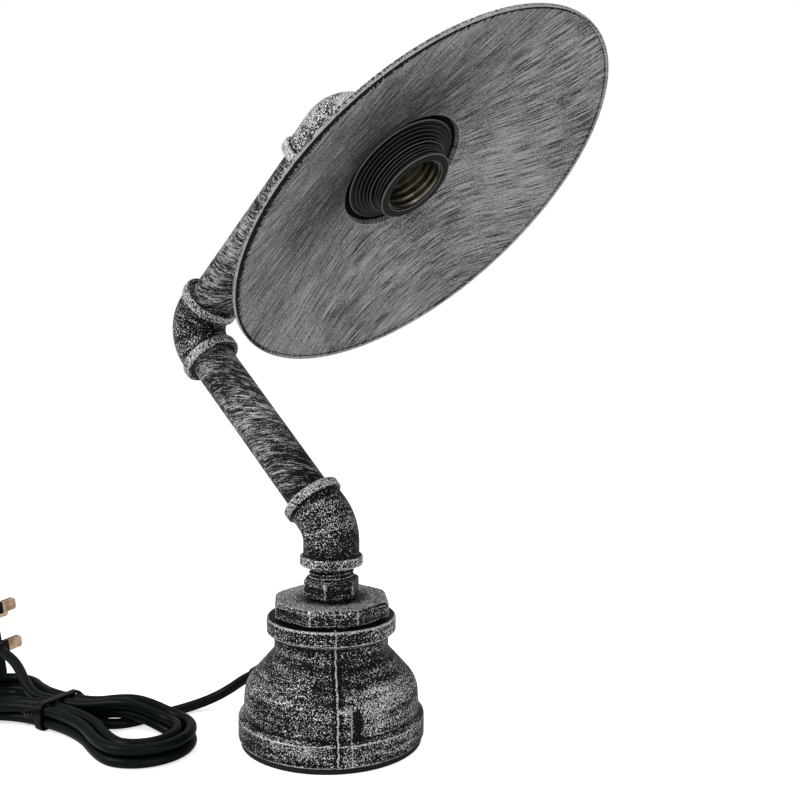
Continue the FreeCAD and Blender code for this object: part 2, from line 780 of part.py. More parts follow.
# Plug, drawn with its pins up the Z axis and its earth side along X
plug_inset = plug_depth * math.tan(math.radians(plug_draft))
plug_up = math.radians(plug_draft)
plug_heading = math.radians(plug_yaw)
pin_way = V(math.cos(plug_heading) * math.cos(plug_up), math.sin(plug_heading) * math.cos(plug_up), math.sin(plug_up))
earth_way = V(-math.sin(plug_heading), math.cos(plug_heading), 0)
live_way = pin_way.cross(earth_way)
plug_face = V(plug_place.x, plug_place.y, plug_half_width * math.cos(plug_up))
sleeve_length = 18.0
sleeve_radius = 5.2
sleeve_tip_radius = 3.9
sleeve_height = -10.5


def in_plug(shape):
    """Carry a shape from the plug's own axes to its place on the table."""
    turn = FreeCAD.Matrix(earth_way.x, live_way.x, pin_way.x, plug_face.x,
                          earth_way.y, live_way.y, pin_way.y, plug_face.y,
                          earth_way.z, live_way.z, pin_way.z, plug_face.z, 0, 0, 0, 1)
    shape = shape.copy()
    shape.Placement = FreeCAD.Placement(turn).multiply(shape.Placement)
    return shape


def plug_point(x, y, z):
    return plug_face + earth_way * x + live_way * y + pin_way * z


def plug_outline(inset, z):
    """Rounded outline of the plug at one depth, drawn in from the face by inset."""
    half = plug_half_width - inset
    low = -plug_cord_side + inset
    high = plug_earth_side - inset
    shoulder = 12.0
    tip = half * 0.60
    corners = [(low, -half, 5.0), (shoulder, -half, 9.0), (high, -tip, 6.0), (high, tip, 6.0),
               (shoulder, half, 9.0), (low, half, 5.0)]
    wire = rounded_wire(corners)
    wire.rotate(origin, x_axis, -90)
    wire.translate(V(0, 0, z))
    return wire


def rounded_bar(wide, thick, low, high, corner):
    """Straight bar up Z with rounded upright edges and a chamfered tip."""
    def ring(inset, z):
        a = wide / 2 - inset
        b = thick / 2 - inset
        wire = rounded_wire([(-b, -a, corner), (b, -a, corner), (b, a, corner), (-b, a, corner)])
        wire.rotate(origin, x_axis, -90)
        wire.translate(V(0, 0, z))
        return wire
    straight = Part.Face(ring(0, low)).extrude(V(0, 0, high - 1.2 - low))
    point = Part.makeLoft([ring(0, high - 1.2), ring(0.8, high)], True, True)
    return straight.fuse(point).removeSplitter()


pin_depth = 9.0


def make_live_pin(side):
    bar = rounded_bar(6.35, 4.0, -pin_depth, pin_length, 0.5)
    bar = bar.cut(pin_sleeve_space())
    bar.translate(V(0, side * pin_spacing / 2, 0))
    return in_plug(bar)


def pin_sleeve_space():
    """The part of a pin turned down for its sleeve."""
    outer = Part.makeBox(12, 12, pin_sleeve_length, V(-6, -6, 0))
    return outer.cut(Part.makeBox(4.0 - 1.2, 6.35 - 1.2, 40, V(-1.4, -2.575, -10)))


def make_pin_sleeves():
    sleeves = []
    for side in (-1, 1):
        outer = Part.makeBox(4.0, 6.35, pin_sleeve_length - 0.02, V(-2.0, -3.175, 0.01))
        outer = outer.makeFillet(0.5, [e for e in outer.Edges if abs(e.tangentAt(0).z) > 0.9])
        sleeve = outer.cut(Part.makeBox(2.82, 5.17, 40, V(-1.41, -2.585, -10)))
        sleeve.translate(V(0, side * pin_spacing / 2, 0))
        sleeves.append(sleeve)
    return in_plug(Part.makeCompound(sleeves))


def make_earth_pin():
    bar = rounded_bar(4.0, 8.0, -pin_depth, earth_pin_length, 0.5)
    bar.translate(V(pin_spacing, 0, 0))
    return in_plug(bar)


fuse_radius = 6.3 / 2
fuse_length = 25.4
fuse_place = 12.4
fuse_depth = -5.2
cover_sheet = 1.2


def make_plug_body():
    lip = 2.0
    low = Part.makeLoft([plug_outline(plug_inset, -plug_depth), plug_outline(0.3, -lip)], True, True)
    face = Part.Face(plug_outline(0.3, -lip)).extrude(V(0, 0, lip))
    sleeve_start = -plug_cord_side + 1.5
    sleeve = turned([(0, 0), (sleeve_radius, 0), (sleeve_radius, 3.2, 0.5), (sleeve_tip_radius, sleeve_length - 0.6, 0.4),
                     (sleeve_tip_radius, sleeve_length, 0.3), (0, sleeve_length)],
                    V(sleeve_start, 0, sleeve_height), V(-1, 0, 0))
    body = face.fuse([low, sleeve])
    # Ribs round the flexible outlet
    for i in range(4):
        groove_at = sleeve_start - 5.0 - i * 3.2
        ring = turned([(3.5, 0), (6, 0), (6, 1.2), (3.5, 1.2)], V(groove_at, 0, sleeve_height), V(-1, 0, 0))
        body = body.cut(ring)
    pocket = 0.05
    for side in (-1, 1):
        pin = Part.makeBox(4.0 + 2 * pocket, 6.35 + 2 * pocket, pin_depth + 1, V(-2 - pocket, -3.175 - pocket, -pin_depth - 0.05))
        pin.translate(V(0, side * pin_spacing / 2, 0))
        body = body.cut(pin)
    earth = Part.makeBox(8 + 2 * pocket, 4 + 2 * pocket, pin_depth + 1,
                         V(pin_spacing - 4 - pocket, -2 - pocket, -pin_depth - 0.05))
    body = body.cut(earth)
    bay = Part.makeBox(7.4, fuse_length + 1.0, 8.6 + 0.1, V(fuse_place - 3.7, -fuse_length / 2 - 0.5, -8.6))
    seat = Part.makeBox(9.4, fuse_length + 3.0, cover_sheet + 0.1, V(fuse_place - 4.7, -fuse_length / 2 - 1.5, -cover_sheet))
    body = body.cut(bay).cut(seat)
    return in_plug(body.removeSplitter())


def make_fuse_cover():
    cover = Part.makeBox(9.2, fuse_length + 2.8, cover_sheet - 0.1, V(fuse_place - 4.6, -fuse_length / 2 - 1.4, -cover_sheet + 0.05))
    slot = Part.makeBox(1.0, 5.0, 0.6, V(fuse_place - 0.5, -2.5, -0.5))
    return in_plug(cover.cut(slot))


def make_fuse():
    start = V(fuse_place, -fuse_length / 2, fuse_depth)
    fuse = turned([(0, 0), (fuse_radius, 0, 0.3), (fuse_radius, 5.6, 0.2), (fuse_radius - 0.15, 5.8),
                   (fuse_radius - 0.15, fuse_length - 5.8), (fuse_radius, fuse_length - 5.6, 0.2),
                   (fuse_radius, fuse_length, 0.3), (0, fuse_length)], start, y_axis)
    return in_plug(fuse)


# Tail from the hank to the plug
def tail_points(start):
    outlet = plug_point(-plug_cord_side + 1.5 - sleeve_length, 0, sleeve_height)
    run = 15.0
    low = start - hank_u * run
    high = outlet - earth_way * run
    return [start, low, high, outlet]


def make_tie():
    """Thin strap round the waist, with its twisted end standing up."""
    gap = 0.15
    top = (2 + 0.5) * hank_pitch + cord_radius + gap
    bottom = -(1 + 0.5) * hank_pitch - cord_radius - gap
    low = waist_height - cord_radius - gap
    high = waist_height + hank_pitch + cord_radius + gap
    inner = [(bottom, low, 2.4), (top, low, 2.4), (top, low + 2 * cord_radius + 0.6, 2.4),
             (top - hank_pitch, high, 2.4), (bottom, high, 2.4)]
    outer = [(bottom - tie_sheet, low - tie_sheet, 3.6), (top + tie_sheet, low - tie_sheet, 3.6),
             (top + tie_sheet, low + 2 * cord_radius + 1.1, 3.6), (top - hank_pitch + 0.8, high + tie_sheet, 3.6),
             (bottom - tie_sheet, high + tie_sheet, 3.6)]
    band = Part.Face(rounded_wire(outer)).cut(Part.Face(rounded_wire(inner)))
    band = band.extrude(V(0, tie_width, 0))
    # Twisted end: its two wires cross close to the band
    knot = V(bottom - tie_sheet + 0.4, tie_width / 2, high - 3.0)
    stub_way = V(-0.85, -0.15, 0.35).normalize()
    stub_side = stub_way.cross(z_axis).normalize()
    for side in (-1, 1):
        start = knot + stub_side * (0.9 * side)
        finish = knot + stub_way * 11.0 - stub_side * (0.9 * side)
        band = band.fuse(rod(0.8, start, finish))
    matrix = FreeCAD.Matrix(hank_v.x, -hank_u.x, 0, hank_centre.x, hank_v.y, -hank_u.y, 0, hank_centre.y,
                            0, 0, 1, 0, 0, 0, 0, 1)
    band.translate(V(0, -tie_width / 2, 0))
    band.Placement = FreeCAD.Placement(matrix).multiply(band.Placement)
    return band


# Write every sub-part
save("foot_pad", make_foot_pad())
save("base_bell", make_bell())
save("reducing_bush", make_bush())
save("hex_nipple", make_nipple())
save("strain_relief", make_gland())
save("earth_tag", make_earth_tag())
save("earth_screw", make_earth_screw())
save("earth_wire", make_earth_wire())
save("flex_foot", make_flex_foot())

save("elbow_foot", elbow(foot_corner, z_axis * -1, lower_way, face_45, face_45, bend_radius_45))
save("pipe_lower", pipe(lower_pipe_start, lower_pipe_end))
save("flex_lower", make_flex_lower())

save("elbow_middle", elbow(middle_corner, lower_way * -1, upper_way, face_90, face_90, bend_radius_90))
save("pipe_upper", pipe(upper_pipe_start, upper_pipe_end))
save("flex_upper", make_flex_upper())

save("elbow_head", elbow(head_corner, upper_way * -1, shade_way, head_leg, face_90, bend_radius_90))
save("holder_bush", make_holder_bush())
save("threaded_tube", make_threaded_tube())
save("tube_nut", make_tube_nut())
save("holder_cap", make_holder_cap())
save("holder_skirt", make_holder_skirt())
save("screw_shell", make_screw_shell())
save("holder_insert", make_holder_insert())
save("terminal_screws", make_terminal_screws())
save("centre_contact", make_centre_contact())
save("shade_ring", make_shade_ring())
save("shade", make_shade())
save("flex_head", make_flex_head())

hank_solid, hank_begin, hank_finish = make_hank()
save("cord_hank", hank_solid)
lead_wire, lead_radii = soft_route(lead_points(hank_begin))
lead_solid = tube_on(lead_wire, cord_radius)
print("lead bends", lead_radii)
check_tube("lead", lead_solid, lead_wire, cord_radius)
save("cord_lead", lead_solid)
tail_wire, tail_radii = soft_route(tail_points(hank_finish))
tail_solid = tube_on(tail_wire, cord_radius)
print("tail bends", tail_radii)
check_tube("tail", tail_solid, tail_wire, cord_radius)
save("cord_tail", tail_solid)
save("cord_tie", make_tie())

save("plug_body", make_plug_body())
save("plug_pin_live", make_live_pin(1))
save("plug_pin_neutral", make_live_pin(-1))
save("plug_pin_earth", make_earth_pin())
save("plug_pin_sleeves", make_pin_sleeves())
save("plug_fuse", make_fuse())
save("plug_fuse_cover", make_fuse_cover())
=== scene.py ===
"""Looks for a table lamp built from half inch pipe, iron fittings and a shallow metal shade."""

import bmesh
import bpy
import numpy as np
from mathutils import Matrix


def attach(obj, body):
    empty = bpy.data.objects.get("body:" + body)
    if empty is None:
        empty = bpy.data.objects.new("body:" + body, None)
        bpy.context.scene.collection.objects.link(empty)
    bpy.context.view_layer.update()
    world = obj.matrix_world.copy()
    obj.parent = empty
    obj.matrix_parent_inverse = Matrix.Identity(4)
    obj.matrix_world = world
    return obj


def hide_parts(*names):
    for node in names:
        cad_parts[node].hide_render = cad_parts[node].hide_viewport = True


bl_info = {
    "name": "Pipe table lamp",
    "version": (1, 0, 0),
    "blender": (4, 5, 0),
    "location": "View3D > Sidebar > Pipe lamp",
    "description": "Visible surfaces, cord, finishes and studio of a pipe table lamp",
    "category": "Object",
}

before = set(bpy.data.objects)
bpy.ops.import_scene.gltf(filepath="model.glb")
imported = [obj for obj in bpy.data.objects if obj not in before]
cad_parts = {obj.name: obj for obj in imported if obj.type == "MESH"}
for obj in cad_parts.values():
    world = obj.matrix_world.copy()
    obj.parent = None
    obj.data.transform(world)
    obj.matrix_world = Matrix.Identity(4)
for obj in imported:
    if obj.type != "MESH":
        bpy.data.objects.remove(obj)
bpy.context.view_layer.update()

# Shapes are worked out in millimetres and become metres in their meshes
MM = 0.001

# Directions of the arm's pipes and of the shade, and the elbows' corners
LEAN = np.sqrt(0.5)
UP = np.array([0.0, 0.0, 1.0])
DOWN = -UP
ACROSS = np.array([0.0, 1.0, 0.0])
LOWER = np.array([-LEAN, 0.0, LEAN])
UPPER = np.array([LEAN, 0.0, LEAN])
SHADE = np.array([LEAN, 0.0, -LEAN])
GROUND = np.zeros(3)
FOOT_CORNER = UP * 100.6
MIDDLE_CORNER = FOOT_CORNER + LOWER * 126.9
HEAD_CORNER = MIDDLE_CORNER + UPPER * 140.4

# Bell reducer: heights above the table, radii of its outside and of its hollow, and azimuths in degrees
PAD_TOP, BEAD_TOP, BODY_FOOT, SHOULDER, NECK, BAND_FOOT, BELL_TOP = 2.5, 12.6, 14.4, 27.8, 43.2, 52.2, 59.0
BEAD_RADIUS, BODY_RADIUS, SHOULDER_RADIUS, NECK_RADIUS, BAND_RADIUS = 43.4, 41.0, 40.3, 26.6, 30.1
FOOT_BORE, HOLLOW_RADIUS, WATERWAY, TOP_BORE = 37.7, 36.4, 22.2, 24.0
SEAM_AZIMUTH, LUG_AZIMUTH = -48.0, -43.6
LUG_RADIUS, LUG_TOP = 42.25, 29.0

# Octagon and hexagon across their flats, with the azimuth of one corner
OCTAGON_FLATS, OCTAGON_AZIMUTH, OCTAGON_TOP = 52.1, 17.9, 67.4
HEX_FLATS, HEX_AZIMUTH = 23.6, -64.4

# Pipe thread, fourteen to the inch
PIPE_THREAD = 1.814
NIPPLE_RADIUS = 10.6

# Elbows: radii of the barrel, the bands, the mouths' recess, the thread's root and the waterway
BARREL_RADIUS, ELBOW_BAND_RADIUS, RECESS_RADIUS, ROOT_RADIUS, ELBOW_WATERWAY = 13.1, 14.7, 12.5, 10.72, 9.2
FACE_45, FACE_90, HEAD_LEG = 18.0, 22.0, 32.4
BEND_45, BEND_90 = 18.0, 14.6

# Shade and lampholder: stations along the shade's axis from the head elbow's corner, and radii
SHADE_TOP, CONE_TOP, CONE_START, CONE_END, RIM_STATION = 37.5, 41.5, 41.9, 60.3, 62.2
CONE_NECK, RIM_RADIUS, HEM_RADIUS, SHEET = 31.0, 96.4, 94.9, 0.9
CONE_RISE = np.arctan2(CONE_END - CONE_START, RIM_RADIUS - CONE_NECK)
SKIRT_RADIUS, MOUTH = 17.85, 51.6
LAMP_THREAD = 3.62

# The hank's place on the table, its own directions, the pitch of its cords and the height of its waist
HANK_CENTRE = np.array([-118.0, -64.0, 0.0])
HANK_TURN = np.radians(4.0)
HANK_U = np.array([np.cos(HANK_TURN), np.sin(HANK_TURN), 0.0])
HANK_V = np.array([-np.sin(HANK_TURN), np.cos(HANK_TURN), 0.0])
HANK_PITCH = 5.7
WAIST_HEIGHT = 4.0
LOBES = 8

# The cord's way from its gland to the tie, and from the hank to the plug
LEAD = [(-49.09, 0, 20.04), (-54.83, 0, 16.99), (-61.93, -2.2, 11.19), (-69.63, -7, 5.89), (-77.03, -15, 2.5),
        (-81.83, -34, 2.5), (-87.53, -51.8, 2.5), (-97.75, -59.73, 4.0), (-110.22, -60.6, 4.0)]
TAIL = [(-126.18, -61.71, 9.7), (-141.14, -62.76, 9.7), (-162.84, -55.1, 22.31), (-178.6, -53.45, 22.31)]

# Sockets of a Mix node that mixes colours, and the setting of a Map Range node that eases in and out
FACTOR, FIRST, SECOND, MIXED = 0, 6, 7, 2
EASED = {"interpolation_type": "SMOOTHSTEP"}


def linear(code):
    """A hex sRGB colour as linear red, green, blue and alpha."""
    parts = np.array([int(code[i:i + 2], 16) for i in (1, 3, 5)]) / 255
    light = np.where(parts <= 0.04045, parts / 12.92, ((parts + 0.055) / 1.055) ** 2.4)
    return tuple(float(x) for x in light) + (1.0,)


def scaled(colour, factor, more=0.0):
    """A colour times a factor, lifted a little more, with its alpha left at 1."""
    return tuple(min(1.0, x * factor + more) for x in colour[:3]) + (1.0,)


class LampSizes(bpy.types.PropertyGroup):
    """Sizes that a user would change."""

    pipe: bpy.props.FloatProperty(
        name="Pipe", description="Outside diameter of the pipe",
        default=0.0213, min=0.018, max=0.0213, subtype="DISTANCE", unit="LENGTH")
    cord: bpy.props.FloatProperty(
        name="Cord", description="Diameter of the mains cord",
        default=0.005, min=0.0045, max=0.005, subtype="DISTANCE", unit="LENGTH")
    speck: bpy.props.FloatProperty(
        name="Speck", description="Size of a silver speck on the rough castings",
        default=0.0006, min=0.0004, max=0.004, subtype="DISTANCE", unit="LENGTH")
    stroke: bpy.props.FloatProperty(
        name="Stroke", description="Width of a brush stroke on the pipes and the shade",
        default=0.0006, min=0.0003, max=0.003, subtype="DISTANCE", unit="LENGTH")


class LampColours(bpy.types.PropertyGroup):
    """Colours that a user would change."""

    paint: bpy.props.FloatVectorProperty(
        name="Black paint", description="Ground coat on all the iron",
        default=linear("#0a0b0c")[:3], size=3, min=0, max=1, subtype="COLOR")
    silver: bpy.props.FloatVectorProperty(
        name="Silver", description="Silver dragged over the ground coat",
        default=linear("#e6e7e9")[:3], size=3, min=0, max=1, subtype="COLOR")
    sheath: bpy.props.FloatVectorProperty(
        name="Sheath", description="Cord and the flex inside the pipes",
        default=linear("#010803")[:3], size=3, min=0, max=1, subtype="COLOR")


# Meshes. Their attributes steer the finishes: brush is where a point lies for the brush marks, wear is 1 on
# proud edges, below 0 in hollows and in painted shade and above 0 in painted highlights, dark is 1 where the
# brush never reached and where shade is painted black, comb is the way round the rim.

def ramp(distance, width):
    """0 before a line, 1 past the width, straight between."""
    return np.clip(distance / width, 0, 1)


def crest(distance, height, width, most=1.0):
    """A ridge beside a line: height minus distance over width, kept from 0 to the most."""
    return np.clip(height - np.abs(distance) / width, 0, most)


def soften(corners, step=1.0, arc=6, rounding=0.12, edge_size=3.0):
    """Closed outline from corners (along, out, rounding): each corner becomes an arc tangent to its two runs,
    and the runs are cut into equal steps. Returns along, out and an edge value, which is 1 halfway round the
    small arcs that stand proud, -1 in hollow ones and 0 elsewhere."""
    spots = np.array([c[:2] for c in corners], float)
    size = [c[2] if len(c) > 2 else rounding for c in corners]
    area = np.sum(spots[:, 0] * np.roll(spots[:, 1], -1) - np.roll(spots[:, 0], -1) * spots[:, 1])
    share = np.linspace(0, 1, arc + 1)
    parts = []
    for i, spot in enumerate(spots):
        before = spot - spots[i - 1]
        after = spots[(i + 1) % len(spots)] - spot
        lengths = np.hypot(*before), np.hypot(*after)
        before, after = before / lengths[0], after / lengths[1]
        turn = np.arctan2(before[0] * after[1] - before[1] * after[0], before @ after)
        reach = min(size[i] * abs(np.tan(turn / 2)), 0.48 * min(lengths))
        radius = reach / max(abs(np.tan(turn / 2)), 1e-6)
        start = spot - before * reach
        side = np.array([-before[1], before[0]]) * np.sign(turn)
        angle = np.abs(turn) * share[:, None]
        bend = start + before * radius * np.sin(angle) + side * radius * (1 - np.cos(angle))
        parts.append((bend, np.sin(np.pi * share) ** 2 * np.sign(turn * area) * (size[i] < edge_size)))
    rows = []
    for i, (bend, edge) in enumerate(parts):
        rows.append(np.column_stack([bend, edge]))
        gap = parts[(i + 1) % len(parts)][0][0] - bend[-1]
        cuts = int(np.hypot(*gap) / step)
        if cuts > 1:
            cut = (np.arange(1, cuts) / cuts)[:, None]
            rows.append(np.column_stack([bend[-1] + gap * cut, np.zeros(cuts - 1)]))
    line = np.vstack(rows)
    keep = np.hypot(*(line - np.roll(line, 1, 0))[:, :2].T) > 1e-4
    return line[keep].T


def skin(name, points, closed=True, brush=None, **values):
    """Mesh from a grid of points in millimetres: four neighbours make a face, the second way always closes on
    itself, and the first closes too or ends in flat caps. Brush and any other values become attributes."""
    count, around = points.shape[:2]
    here = np.arange(count * around).reshape(count, around)
    ahead = np.roll(here, -1, 0)
    quads = np.stack([here, ahead, np.roll(ahead, -1, 1), np.roll(here, -1, 1)], -1)
    ends = []
    if not closed:
        quads = quads[:-1]
        ends = [here[0].tolist(), here[-1].tolist()]
    mesh = bpy.data.meshes.new(name)
    mesh.from_pydata((points.reshape(-1, 3) * MM).tolist(), [], quads.reshape(-1, 4).tolist() + ends)
    work = bmesh.new()
    work.from_mesh(mesh)
    bmesh.ops.recalc_face_normals(work, faces=work.faces)
    work.to_mesh(mesh)
    work.free()
    mesh.polygons.foreach_set("use_smooth", [len(p.vertices) == 4 for p in mesh.polygons])
    for key, value in values.items():
        mesh.attributes.new(key, "FLOAT", "POINT").data.foreach_set("value", value.astype(np.float32).ravel())
    if brush is not None:
        marks = (brush * MM).astype(np.float32).ravel()
        mesh.attributes.new("brush", "FLOAT_VECTOR", "POINT").data.foreach_set("vector", marks)
    piece = bpy.data.objects.new(name, mesh)
    bpy.context.scene.collection.objects.link(piece)
    return piece


def round_marks(along, reach, angle):
    """Brush marks that run round an axis: (along, reach * cos, reach * sin). The reach is a small share of
    the radius, so a pattern on them is that much longer round the piece than along it."""
    along, reach, angle = np.broadcast_arrays(along, reach, angle)
    return np.stack([along, reach * np.cos(angle), reach * np.sin(angle)], -1)


def turned(name, corners, base, way, count=180, step=1.0, turns=None, change=None, strokes=None, tones=None):
    """A turned form: the softened outline (along, out) carried round an axis, point = base + way * along +
    (first * cos + second * sin) * out. Change alters along, out and wear by angle, strokes gives the brush
    marks, and tones gives dark and wear."""
    along, out, wear = soften(corners, step)
    angle = np.linspace(0, 2 * np.pi, count, endpoint=False) if turns is None else turns
    angle, along = np.meshgrid(angle, along)
    out = np.repeat(out[:, None], angle.shape[1], 1)
    wear = np.repeat(wear[:, None], angle.shape[1], 1)
    if change:
        along, out, wear = change(along, out, wear, angle)
    first = np.cross(ACROSS, way)
    second = np.cross(way, first)
    spoke = np.cos(angle)[..., None] * first + np.sin(angle)[..., None] * second
    points = base + way * along[..., None] + spoke * out[..., None]
    values = {"wear": wear}
    values["brush"] = strokes(along, out, angle) if strokes else round_marks(along, 0.10 * out, angle)
    if tones:
        values["dark"], values["wear"] = tones(along, out, wear, angle)
        values["comb"] = np.mod(angle, 2 * np.pi) * np.max(out) * MM
    return skin(name, points, **values)


def corner_radius(number, across):
    """Distance from a nut's axis to its corners: half the flats over the cosine of half a side's angle."""
    return across / 2 / np.cos(np.pi / number)


def flats(number, across, azimuth, inner):
    """Change for a nut with a corner at the azimuth in degrees: out between inner and the corners' radius is
    squeezed onto a polygon, whose distance from the axis is half the flats over the cosine of the angle from
    the middle of the nearest flat. The corners are cut back by 0.25 mm and worn over 0.9 mm."""
    full = corner_radius(number, across)
    part = 2 * np.pi / number

    def change(along, out, wear, angle):
        off = np.mod(angle - np.radians(azimuth), part) - part / 2
        limit = np.minimum(across / 2 / np.cos(off), full - 0.25)
        squeezed = inner + (out - inner) * (limit - inner) / (full - inner)
        worn = np.clip(1 - (part / 2 - np.abs(off)) * full / 0.9, 0, 1) * (out > full - 1.5)
        return along, np.where(out > inner, squeezed, out), np.where(worn > 0, np.maximum(wear, worn), wear)
    return change


def threads(pitch, depth, start, stop, radius):
    """Change for a screw thread: within start and stop, out at the given radius drops by depth along a
    triangle wave of (along / pitch - angle / full turn), faded over one pitch at both ends."""
    def change(along, out, wear, angle):
        wave = np.abs(np.mod(along / pitch - angle / (2 * np.pi), 1) - 0.5) * 2
        fade = ramp(along - start, pitch) * ramp(stop - along, pitch)
        on = (np.abs(out - radius) < 0.02) * fade
        wear = np.maximum(wear * (1 - on), on * np.clip(wave * 3 - 2, 0, 1))
        return along, out - on * depth * (1 - wave), wear
    return change


def centre_line(corner, in_way, out_way, face_in, bend, along):
    """Place and heading at distances along a line that runs in from its face, turns on one arc of the bend
    radius and runs out: place = arc's start + ahead * bend * sin(swing) + inward * bend * (1 - cos(swing)),
    and heading = ahead * cos(swing) + inward * sin(swing). The third result is the bend's axis."""
    ahead = -in_way
    half = np.arccos(np.clip(in_way @ out_way, -1, 1)) / 2
    tangent = bend / np.tan(half)
    turn = np.pi - 2 * half
    inward = out_way - (out_way @ ahead) * ahead
    inward = inward / np.linalg.norm(inward)
    run = along - (face_in - tangent)
    swing = np.clip(run / bend, 0, turn)[..., None]
    place = corner + in_way * tangent + ahead * (bend * np.sin(swing)) + inward * (bend * (1 - np.cos(swing)))
    heading = ahead * np.cos(swing) + inward * np.sin(swing)
    beyond = np.where(run < 0, run, np.maximum(run - bend * turn, 0))[..., None]
    return place + heading * beyond, heading, np.cross(ahead, inward)


def elbow(name, corner, in_way, out_way, face_in, face_out, bend):
    """A banded elbow: a closed outline of (distance, radius) carried along the centre line, each ring square
    to its heading. The mouths are recessed round the pipe, and the bands are worn all over."""
    half = np.arccos(np.clip(in_way @ out_way, -1, 1)) / 2
    length = face_in + face_out - 2 * bend / np.tan(half) + bend * (np.pi - 2 * half)
    end = [(0, RECESS_RADIUS, 0.3), (0, ELBOW_BAND_RADIUS, 1.3), (4.3, ELBOW_BAND_RADIUS, 1.1),
           (5.2, BARREL_RADIUS, 1.2)]
    inside = [(11.6, ELBOW_WATERWAY), (11.0, ROOT_RADIUS), (2.2, ROOT_RADIUS, 0.1), (1.4, RECESS_RADIUS, 0.3)]
    outline = end + [(length - a, b, c) for a, b, c in reversed(end)]
    outline += [(length - c[0],) + c[1:] for c in reversed(inside)] + inside
    along, out, wear = soften(outline, 0.9)
    angle = np.linspace(0, 2 * np.pi, 128, endpoint=False)
    middle, heading, side = centre_line(corner, in_way, out_way, face_in, bend, along)
    across = np.cross(side, heading)
    ring = np.cos(angle)[None, :, None] * side + np.sin(angle)[None, :, None] * across[:, None, :]
    points = middle[:, None, :] + ring * out[:, None, None]
    wear = np.where(out > ELBOW_BAND_RADIUS - 0.2, np.maximum(wear, 0.52), wear)
    wear = np.repeat(wear[:, None], len(angle), 1)
    return skin(name, points, wear=wear, brush=round_marks(along[:, None], 1.6, angle))


def tube(name, path, radius, sides=10):
    """A round bar along a path: rings of the radius square to the path's local heading, flat at both ends."""
    heading = np.gradient(path, axis=0)
    heading = heading / np.linalg.norm(heading, axis=1)[:, None]
    side = np.cross(heading, UP)
    side = side / np.linalg.norm(side, axis=1)[:, None]
    across = np.cross(heading, side)
    angle = np.linspace(0, 2 * np.pi, sides, endpoint=False)[None, :, None]
    ring = np.cos(angle) * side[:, None] + np.sin(angle) * across[:, None]
    return skin(name, path[:, None, :] + radius * ring, closed=False)


def dress(piece, finish, body, slot, *nodes):
    """Give a piece its finish and body, and hide the solids it stands for. The slot is not used."""
    piece.data.materials.append(finish)
    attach(piece, body)
    if nodes:
        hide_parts(*nodes)


def paint_nodes(finish, *nodes):
    """Put a finish in every slot of the solids that stay as they are."""
    for name in nodes:
        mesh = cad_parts[name].data
        if not mesh.materials:
            mesh.materials.append(finish)
        for i in range(len(mesh.materials)):
            mesh.materials[i] = finish


# Materials. Each function below adds one finish's patterns and returns the inputs of its shader.

def add(tree, kind, inputs=(), out=0, **settings):
    """Add one node with its settings and a value or a link on each input, and return one of its outputs."""
    made = tree.nodes.new("ShaderNode" + kind)
    for key, value in settings.items():
        setattr(made, key, value)
    for key, value in inputs.items() if isinstance(inputs, dict) else enumerate(inputs):
        if isinstance(value, bpy.types.NodeSocket):
            tree.links.new(value, made.inputs[key])
        else:
            made.inputs[key].default_value = value
    return made.outputs[out] if made.outputs else None


def material(name, finish, *values):
    """A new material with one shader, whose inputs the finish works out from places on the piece."""
    made = bpy.data.materials.new(name)
    made.use_nodes = True
    tree = made.node_tree
    tree.nodes.clear()
    inputs = finish(tree, add(tree, "TexCoord", out="Object"), *values)
    add(tree, "OutputMaterial", {"Surface": add(tree, "BsdfPrincipled", inputs)})
    return made


def user_colour(name):
    """One of the user's colours, with alpha."""
    return tuple(getattr(bpy.context.scene.lamp_colours, name)) + (1.0,)


